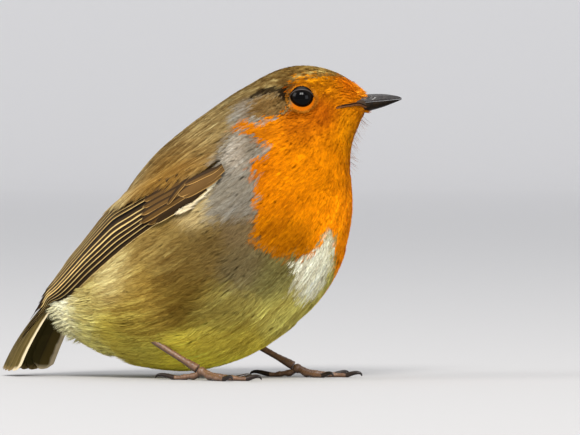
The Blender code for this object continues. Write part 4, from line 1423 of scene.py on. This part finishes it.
def sweepTube(centres, radii, sides, scute=0.0, scuteDepth=0.0, flatten=1.0):
    # a round tube with low overlapping scales over its upper or front half
    centres = np.asarray(centres, float)
    forward = unit(np.gradient(centres, axis=0))
    side = unit(np.cross(np.array([0, 0, 1.0]), forward))
    up = np.cross(forward, side)
    angle = np.linspace(0, 2 * math.pi, sides, endpoint=False)[None]
    radius = np.asarray(radii, float)[:, None] * np.ones_like(angle)
    edge = np.zeros_like(radius)
    if scute:
        phase = np.mod(runLength(centres) / scute, 1)[:, None]
        front = smooth(-0.35, 0.25, np.sin(angle))
        radius = radius * (1 + scuteDepth * (phase - 0.5) * front)
        edge = np.maximum(smooth(0.8, 1.0, phase), smooth(0.1, 0.0, phase)) * front
    ring = (side[:, None] * np.cos(angle)[..., None]
            + up[:, None] * np.sin(angle)[..., None] * flatten)
    return centres[:, None] + ring * radius[..., None], edge, np.sin(angle) + 0 * radius


def closeEnds(points):
    # draws a tube's first and last rings in to points, so both its ends are closed
    first = np.repeat(points[:1].mean(1, keepdims=True), points.shape[1], axis=1)
    last = np.repeat(points[-1:].mean(1, keepdims=True), points.shape[1], axis=1)
    return np.concatenate([first, points, last])


def closeNumbers(values):
    return np.concatenate([values[:1], values, values[-1:]])


def toePath(ball, heading, length, steps=60):
    thick, thin = legShape["toeRadii"]
    t = np.linspace(0, 1, steps)
    radius = thick + (thin - thick) * t
    pads = 0.1 * np.cos(3 * 2 * math.pi * t)
    arch = 0.5 * np.sin(math.pi * np.minimum(1.0, 1.15 * t)) ** 2 * (1 - t)
    drop = (ball[2] - radius) * (1 - smooth(0.0, 0.34, t))
    centres = ball + np.array([math.cos(heading), math.sin(heading), 0]) * (length * t)[:, None]
    centres[:, 2] = radius - legShape["sink"] + drop + arch
    return centres, radius + pads


def clawPath(start, heading, length, radius, steps=26):
    t = np.linspace(0, 1, steps)
    away = np.array([math.cos(heading), math.sin(heading), 0])
    centres = start + away * (length * 0.92 * np.sin(t * math.pi / 2) ** 0.9)[:, None]
    centres[:, 2] = start[2] + 0.9 * np.sin(math.pi * t * 0.92) - (start[2] - 0.18) * t * t
    return centres, radius * (1 - t) ** 0.75 + 0.1


legFinish = {
    "dark": (76, 50, 34), "pale": (136, 102, 74),
    "under": (66, 44, 30),
    "scuteEdge": (62, 38, 28),
    "claw": ((24, 16, 12), (70, 50, 38)),
}


def makeLegMaterial():
    material, tree, shader = newMaterial("legScales", 0.42)
    shader.inputs["Specular IOR Level"].default_value = 0.5
    edge = readAttribute(tree, "edge")
    upward = readAttribute(tree, "upward")
    noise = addNoise(tree, 900.0, 4.0)
    base = addMix(tree, addMath(tree, "MULTIPLY", noise, 0.9), srgb(*legFinish["dark"]),
                  srgb(*legFinish["pale"]))
    under = addMath(tree, "SUBTRACT", 0.1, upward, clamp=True)
    base = addMix(tree, under, base, srgb(*legFinish["under"]))
    base = addMix(tree, addMath(tree, "MULTIPLY", edge, 0.62), base, srgb(*legFinish["scuteEdge"]))
    tree.links.new(base, shader.inputs["Base Color"])
    addBump(tree, shader, noise, 0.5, 0.0001)
    return material


def makeHornMaterial(name, deep, pale, roughness, shine=0.3):
    material, tree, shader = newMaterial(name, roughness)
    shader.inputs["Specular IOR Level"].default_value = shine
    tipward = readAttribute(tree, "along")
    noise = addNoise(tree, 1400.0, 4.0)
    share = addMath(tree, "ADD", addMath(tree, "MULTIPLY", noise, 0.5),
                    addMath(tree, "MULTIPLY", tipward, -0.35), clamp=True)
    tree.links.new(addMix(tree, share, srgb(*deep), srgb(*pale)), shader.inputs["Base Color"])
    addBump(tree, shader, noise, 0.25, 0.00005)
    return material


legMaterial = makeLegMaterial()
clawMaterial = makeHornMaterial("clawHorn", *legFinish["claw"], 0.3)


def addScaled(maker, points, edge, upward):
    maker.addGrid(closeEnds(points), {"edge": closeNumbers(edge),
                                      "upward": closeNumbers(upward)}, closed=True)


def makeLeg(sideName, outward):
    leg, claws = PieceMaker(), PieceMaker()
    knee, ball = (np.array(legShape[sideName][key]) for key in ("knee", "ball"))
    t = np.linspace(0, 1, 110)
    heel, middle, footEnd = legShape["radii"]
    radius = middle + (heel - middle) * (1 - smooth(0, 0.3, t)) + (
        footEnd - middle) * smooth(0.75, 1.0, t)
    path = knee + (ball + np.array([-1.5, 0, 0.9]) - knee) * t[:, None]
    path[:, 2] -= 0.25 * np.sin(math.pi * t)
    addScaled(leg, *sweepTube(path, radius, 24, legShape["scute"], 0.09))
    t = np.linspace(0, 1, 24)
    knob = ball + np.array([-0.2, 0, 0.1]) + np.stack([2.6 * (t - 0.5), 0 * t, 0 * t], 1)
    radius = 1.32 * np.sqrt(np.clip(1 - (2 * t - 1) ** 2, 0.01, 1))
    addScaled(leg, *sweepTube(knob, radius, 20, 0.8, 0.05))
    for name, (spread, length, clawLength) in legShape["toes"].items():
        heading = math.radians(legShape[sideName]["aim"] + outward * spread)
        centres, radius = toePath(ball, heading, length)
        points, edge, upward = sweepTube(centres, radius, 18, legShape["toeScute"], 0.12)
        points[..., 2] = np.maximum(points[..., 2], 0.0)
        addScaled(leg, points, edge, upward)
        away = np.array([math.cos(heading), math.sin(heading), 0])
        start = centres[-1] - away * 0.25
        centres, radius = clawPath(start, heading, clawLength + 0.5,
                                   legShape["toeRadii"][1] * 0.92)
        points, _, _ = sweepTube(centres, radius, 16, flatten=1.1)
        points[..., 2] = np.maximum(points[..., 2], 0.03)
        along = np.linspace(0, 1, len(points))[:, None] * np.ones((1, 16))
        claws.addGrid(closeEnds(points), {"along": closeNumbers(along)}, closed=True)
    leg.finish("leg_" + sideName, legMaterial, "leg_skin",
               ("tarsus_" + sideName, "foot_" + sideName))
    claws.finish("claws_" + sideName, clawMaterial, "claw_horn",
                 tuple("claw_" + name + "_" + sideName for name in legShape["toes"]))


makeLeg("right", -1)
makeLeg("left", 1)
print("robin: the legs are made")


# Bill, with its fleshy corners

billShape = {
    # forward, height of the mouth line, rise of the upper bill, drop of the lower, half width
    "stations": [(34.8, 73.7, 0.35, 0.35, 4.8), (38.4, 74.45, 0.95, 1.0, 4.1),
                 (40.2, 74.75, 1.6, 1.6, 3.6), (42.0, 75.0, 2.1, 2.3, 3.0),
                 (43.6, 75.15, 2.1, 2.3, 2.45), (46.9, 75.45, 1.8, 1.65, 1.6),
                 (49.4, 75.7, 1.25, 0.95, 1.0), (51.1, 75.85, 0.75, 0.4, 0.5),
                 (51.9, 75.95, 0.25, 0.12, 0.18)],
    "gap": 0.04,
    "ridge": 0.55,          # how sharp the ridges are: 1 is round
    "nostril": (43.4, 0.6, 0.8, 0.3),     # forward, share up the side, length, depth
    "upperTone": ((38, 34, 33), (124, 116, 110)),
    "lowerTone": ((16, 11, 6), (80, 58, 32)),
    "rootTone": ((46, 33, 22), (92, 70, 48)),
}


def makeBillHalf(name, upper, material, replaced):
    rows, arc = 90, 28
    at = np.linspace(0, len(billShape["stations"]) - 1, rows)
    x, line, rise, drop, width = (column[:, None] for column in
                                  readSpline(billShape["stations"], at).T)
    angle = np.linspace(0, math.pi, arc)[None]
    reach = rise if upper else drop
    high = reach * np.sin(angle) ** billShape["ridge"]
    taper = np.abs(np.cos(angle)) ** 1.15 * np.sign(np.cos(angle))
    side = width * (0.35 * np.cos(angle) + 0.65 * taper)
    place, level, longWay, deep = billShape["nostril"]
    if upper:
        shareUp = high / np.maximum(reach, 0.01)
        pit = np.exp(-((x - place) / longWay) ** 2 - ((shareUp - level) / 0.2) ** 2)
        side = side * (1 - deep * pit)
    sign = 1 if upper else -1
    flat = np.linspace(-1, 1, 8)[1:-1][None]
    side = np.concatenate([side, width * flat], axis=1)
    high = np.concatenate([high, 0 * width * flat], axis=1)
    points = headPlace(x + 0 * side, side, line + sign * (high + billShape["gap"]))
    along = np.linspace(0, 1, rows)[:, None] + 0 * side
    maker = PieceMaker()
    maker.addGrid(closeEnds(points), {"along": closeNumbers(along)}, closed=True)
    maker.finish(name, material, "bill_horn", replaced)


billUpperMaterial = makeHornMaterial("billUpperHorn", *billShape["upperTone"], 0.27, 0.42)
billLowerMaterial = makeHornMaterial("billLowerHorn", *billShape["lowerTone"], 0.4, 0.07)
makeBillHalf("billUpper", True, billUpperMaterial, ("bill_upper",))
makeBillHalf("billLower", False, billLowerMaterial, ("bill_lower",))


gapeShape = {
    # station and folded turn of the mouth's line, from its corner to the face's front edge
    "line": [(11.95, 91), (12.5, 96), (13.15, 101), (13.8, 102), (14.4, 102.5), (15.1, 103),
             (16.0, 104)],
    "fleshRise": 0.22, "fleshRadius": 0.3, "fleshDrop": 0.38,
    "lineRise": 0.45, "lineRadius": 0.19,
    # the dark line's tone is painted shadow in the crease of the mouth
    "fleshTone": ((84, 46, 12), (128, 80, 26)),
    "lineShadowTone": ((16, 9, 5), (30, 18, 10)),
    "baseFrom": 3.2,        # where along the line the horn of the upper bill begins
    "baseTop": 76,          # how far up the face it reaches at the front
    "baseRise": 0.55,
}


def makeGape():
    # the fleshy corner of the mouth, a dark line in it that is painted shadow in the mouth's crease,
    # and the bill's root on the face
    flesh, line, base = PieceMaker(), PieceMaker(), PieceMaker()
    last = len(gapeShape["line"]) - 1
    at = np.linspace(0, last, 60)
    station, fold = readSpline(gapeShape["line"], at).T
    t = np.linspace(0, 1, 60)
    for side in (-1, 1):
        turn = fold if side < 0 else 360 - fold
        place, out, _, around = surfaceAt(station, turn)
        lower = unit(around) * (1 if side < 0 else -1)
        for maker, rise, radius, drop in (
                (flesh, gapeShape["fleshRise"], gapeShape["fleshRadius"], gapeShape["fleshDrop"]),
                (line, gapeShape["lineRise"], gapeShape["lineRadius"], 0.0)):
            centres = place + out * (rise * smooth(0, 0.12, t))[:, None] + lower * drop
            width = radius * (0.25 + 0.75 * np.sqrt(np.clip(np.sin(math.pi * np.clip(
                t * 0.86 + 0.03, 0, 1)), 0, 1)))
            points, _, _ = sweepTube(centres, width, 12)
            maker.addGrid(closeEnds(points), {"along": 0.3}, closed=True)
        rows = np.linspace(gapeShape["baseFrom"], last, 30)
        low = readSpline(gapeShape["line"], rows)
        share = np.linspace(0, 1, 30)[:, None]
        across = np.linspace(0, 1, 9)[None]
        top = low[:, 1:] + (gapeShape["baseTop"] - low[:, 1:]) * share ** 0.9
        folds = low[:, 1:] + (top - low[:, 1:]) * across
        turns = folds if side < 0 else 360 - folds
        place, out, _, _ = surfaceAt(low[:, :1] + 0 * across, turns)
        swell = gapeShape["baseRise"] * (1 - 0.75 * across ** 2) * smooth(0, 0.3, share)
        base.addGrid(place + out * (swell - 0.05)[..., None], {"along": 0.2 + 0 * across})
    flesh.finish("gapeFlesh", makeHornMaterial("gapeSkin", *gapeShape["fleshTone"], 0.5),
                 "bill_horn")
    line.finish("mouthShadowLines", makeHornMaterial("mouthShadowLine", *gapeShape["lineShadowTone"], 0.6, 0.1),
                "bill_horn")
    base.finish("billRoots", makeHornMaterial("billRootHorn", *billShape["rootTone"], 0.5, 0.2),
                "bill_horn")


makeGape()


# Eyes and lids

eyeFinish = {
    "segments": 64, "rings": 40,
    "lidSegments": 72, "lidSides": 12,
    "lidHalfWidth": 0.24,   # along the eyeball, in mm
    "lidRise": 0.15,
}


def makeEyeMaterial():
    material, tree, shader = newMaterial("eyeGloss", 0.04)
    shader.inputs["Specular IOR Level"].default_value = 0.1
    fromAxis = readAttribute(tree, "fromAxis")
    iris = addRamp(tree, fromAxis, 0.48, 8.0)
    outer = addRamp(tree, fromAxis, 0.72, 7.0)
    base = addMix(tree, iris, srgb(3, 2, 2), srgb(12, 8, 5))
    base = addMix(tree, outer, base, srgb(8, 6, 5))
    tree.links.new(base, shader.inputs["Base Color"])
    return material


def makeLidMaterial():
    material, tree, shader = newMaterial("lidSkin", 0.5)
    noise = addNoise(tree, 2200.0, 3.0)
    tree.links.new(addMix(tree, noise, srgb(16, 10, 7), srgb(46, 30, 18)),
                   shader.inputs["Base Color"])
    return material


eyeMaterial = makeEyeMaterial()
lidMaterial = makeLidMaterial()


def makeEye(sideName, centre, axis):
    upright = np.array([0, 0, 1.0])
    ahead = unit(np.cross(axis, upright)) * (1 if sideName == "left" else -1)
    radius = bodyShape["eyeRadius"]
    a = np.linspace(0, 2 * math.pi, eyeFinish["segments"], endpoint=False)[None]
    b = np.linspace(0.0, math.pi, eyeFinish["rings"])[:, None]
    ring = ahead * np.cos(a)[..., None] + upright * np.sin(a)[..., None]
    points = centre + radius * (axis * np.cos(b)[..., None] + ring * np.sin(b)[..., None])
    maker = PieceMaker()
    maker.addGrid(points, {"fromAxis": np.sin(b) + 0 * a}, closed=True)
    maker.finish("eyeball_" + sideName, eyeMaterial, "eye_black", ("eye_" + sideName,))
    # the lid is a low rounded rim that hugs the eyeball, a little longer than it is high
    a = np.linspace(0, 2 * math.pi, eyeFinish["lidSegments"], endpoint=False)
    spread = np.arcsin(eyeShape["lidRadius"] / eyeOval(np.cos(a), np.sin(a)) / radius)
    rim = ahead * np.cos(a)[:, None] + upright * np.sin(a)[:, None]
    outward = axis * np.cos(spread)[:, None] + rim * np.sin(spread)[:, None]
    core = centre + outward * (radius + 0.02)
    slope = unit(rim * np.cos(spread)[:, None] - axis * np.sin(spread)[:, None])
    c = np.linspace(0, 2 * math.pi, eyeFinish["lidSides"], endpoint=False)
    lid = (core[:, None] + slope[:, None] * (eyeFinish["lidHalfWidth"] * np.cos(c))[None, :, None]
           + outward[:, None] * (eyeFinish["lidRise"] * np.sin(c))[None, :, None])
    lid = np.concatenate([lid, lid[:1]])
    maker = PieceMaker()
    maker.addGrid(lid, {"along": 0.5}, closed=True)
    maker.finish("lid_" + sideName, lidMaterial, "eye_black")


for eyeName, eyeCentre, eyeAxis in zip(("right", "left"), eyeCentres, eyeAxes):
    makeEye(eyeName, eyeCentre, eyeAxis)
print("robin: the bill and eyes are made")


# Stage, light and camera

view = {
    "turn": 20.0,           # degrees round from the bird's side
    "rise": 1.0,            # degrees above the horizon
    "distance": 2500.0,
    "aim": (19.17, 6.98, 43.66),
    "frameWidth": 157.8,    # what the frame takes in at the bird
    "sensor": 36.0,
}


def placeCamera():
    turn, rise = math.radians(view["turn"]), math.radians(view["rise"])
    away = Vector((math.sin(turn) * math.cos(rise), -math.cos(turn) * math.cos(rise),
                   math.sin(rise)))
    aim = Vector(toWorld(np.array(view["aim"])))
    camera = bpy.data.objects.new("camera", bpy.data.cameras.new("camera"))
    camera.location = aim + away * view["distance"] * mm
    camera.rotation_euler = (-away).to_track_quat("-Z", "Y").to_euler()
    camera.data.sensor_width = view["sensor"]
    camera.data.lens = view["sensor"] * view["distance"] / view["frameWidth"]
    camera.data.clip_start, camera.data.clip_end = 0.05, 30
    scene.collection.objects.link(camera)
    scene.camera = camera
    return aim, away


studio = {
    "floorColour": (140, 139, 139),
    "backColour": (244, 242, 242),      # what it turns to behind the bird
    "front": -4.0,          # the floor's near edge, in metres behind the bird
    # metres behind the bird and share of the back colour; at the last the floor curves up. The floor
    # is painted darker in front, where the lamps light it most, and lighter behind, where their light
    # falls off: painted shade and painted light
    "blend": ((-1.0, 0.0), (0.0, 0.25), (3.6, 1.0)),
    "sweepRadius": 0.7,
    "halfWidth": 4.0,
    "height": 3.0,
    "bends": 16, "columns": 9,      # faces round the curve and points across the floor
    "below": 0.00002,       # metres that the floor lies under the feet
    "world": (0.93, 0.96, 1.0),
    "worldStrength": 0.62,
    # name: (along the view, to its right, up) in metres, size, watts, colour
    "lamps": {
        "keyLeft": ((-1.3, -0.27, 1.2), (0.36, 0.5), 20.0, (1.0, 0.98, 0.95)),
        "keyRight": ((-1.3, 0.16, 1.2), (0.36, 0.5), 20.0, (1.0, 0.98, 0.95)),
        "side": ((-0.5, -1.5, 0.9), (0.8, 0.8), 11.0, (1.0, 0.99, 0.96)),
        "fill": ((-1.4, 1.3, 0.4), (0.9, 0.9), 9.0, (0.97, 0.98, 1.0)),
        "sky": ((0.2, 0.0, 2.0), (1.6, 1.6), 13.0, (0.96, 0.98, 1.0)),
    },
}


def makeStage(aim, away):
    ahead = Vector((-away.x, -away.y, 0)).normalized()
    right = Vector((ahead.y, -ahead.x, 0))
    back, radius = studio["blend"][-1][0], studio["sweepRadius"]
    profile = [(studio["front"], 0.0)] + [(reach, 0.0) for reach, _ in studio["blend"]]
    bends, columns = studio["bends"], studio["columns"]
    for i in range(1, bends + 1):
        a = math.pi / 2 * i / bends
        profile.append((back + radius * math.sin(a), radius * (1 - math.cos(a))))
    profile.append((back + radius, studio["height"]))
    foot = Vector((aim.x, aim.y, 0))
    points = []
    for reach, height in profile:
        for side in np.linspace(-studio["halfWidth"], studio["halfWidth"], columns):
            point = foot + ahead * reach + right * float(side)
            points.append((point.x, point.y, height - studio["below"]))
    mesh = bpy.data.meshes.new("studioSweep")
    mesh.from_pydata(points, [], gridFaces(len(profile), columns).tolist())
    mesh.shade_smooth()
    material, tree, shader = newMaterial("studioPaper", 0.9)
    shader.inputs["Specular IOR Level"].default_value = 0.2
    # painted shade on the near floor easing to painted light far behind
    tree.links.new(addMix(tree, readAttribute(tree, "far"), srgb(*studio["floorColour"]),
                          srgb(*studio["backColour"])), shader.inputs["Base Color"])
    shares = np.interp([reach for reach, _ in profile], *zip(*studio["blend"]))
    far = mesh.attributes.new("far", "FLOAT", "POINT")
    far.data.foreach_set("value", np.repeat(shares, columns))
    mesh.materials.append(material)
    sweep = bpy.data.objects.new("studioSweep", mesh)
    scene.collection.objects.link(sweep)
    return ahead, right


def placeLamps(aim, ahead, right):
    for name, (place, size, watts, colour) in studio["lamps"].items():
        lamp = bpy.data.lights.new(name, "AREA")
        lamp.shape, lamp.size, lamp.size_y = "RECTANGLE", *size
        lamp.energy, lamp.color = watts, colour
        made = bpy.data.objects.new(name, lamp)
        made.location = aim + ahead * place[0] + right * place[1] + Vector((0, 0, place[2]))
        made.rotation_euler = (aim - made.location).to_track_quat("-Z", "Y").to_euler()
        scene.collection.objects.link(made)
    world = bpy.data.worlds.new("studioAir")
    world.use_nodes = True
    world.node_tree.nodes["Background"].inputs["Color"].default_value = (*studio["world"], 1)
    world.node_tree.nodes["Background"].inputs["Strength"].default_value = studio["worldStrength"]
    scene.world = world


aimPlace, awayFrom = placeCamera()
aheadWay, rightWay = makeStage(aimPlace, awayFrom)
placeLamps(aimPlace, aheadWay, rightWay)
scene.view_settings.view_transform = "Standard"
print("robin: the studio is set")
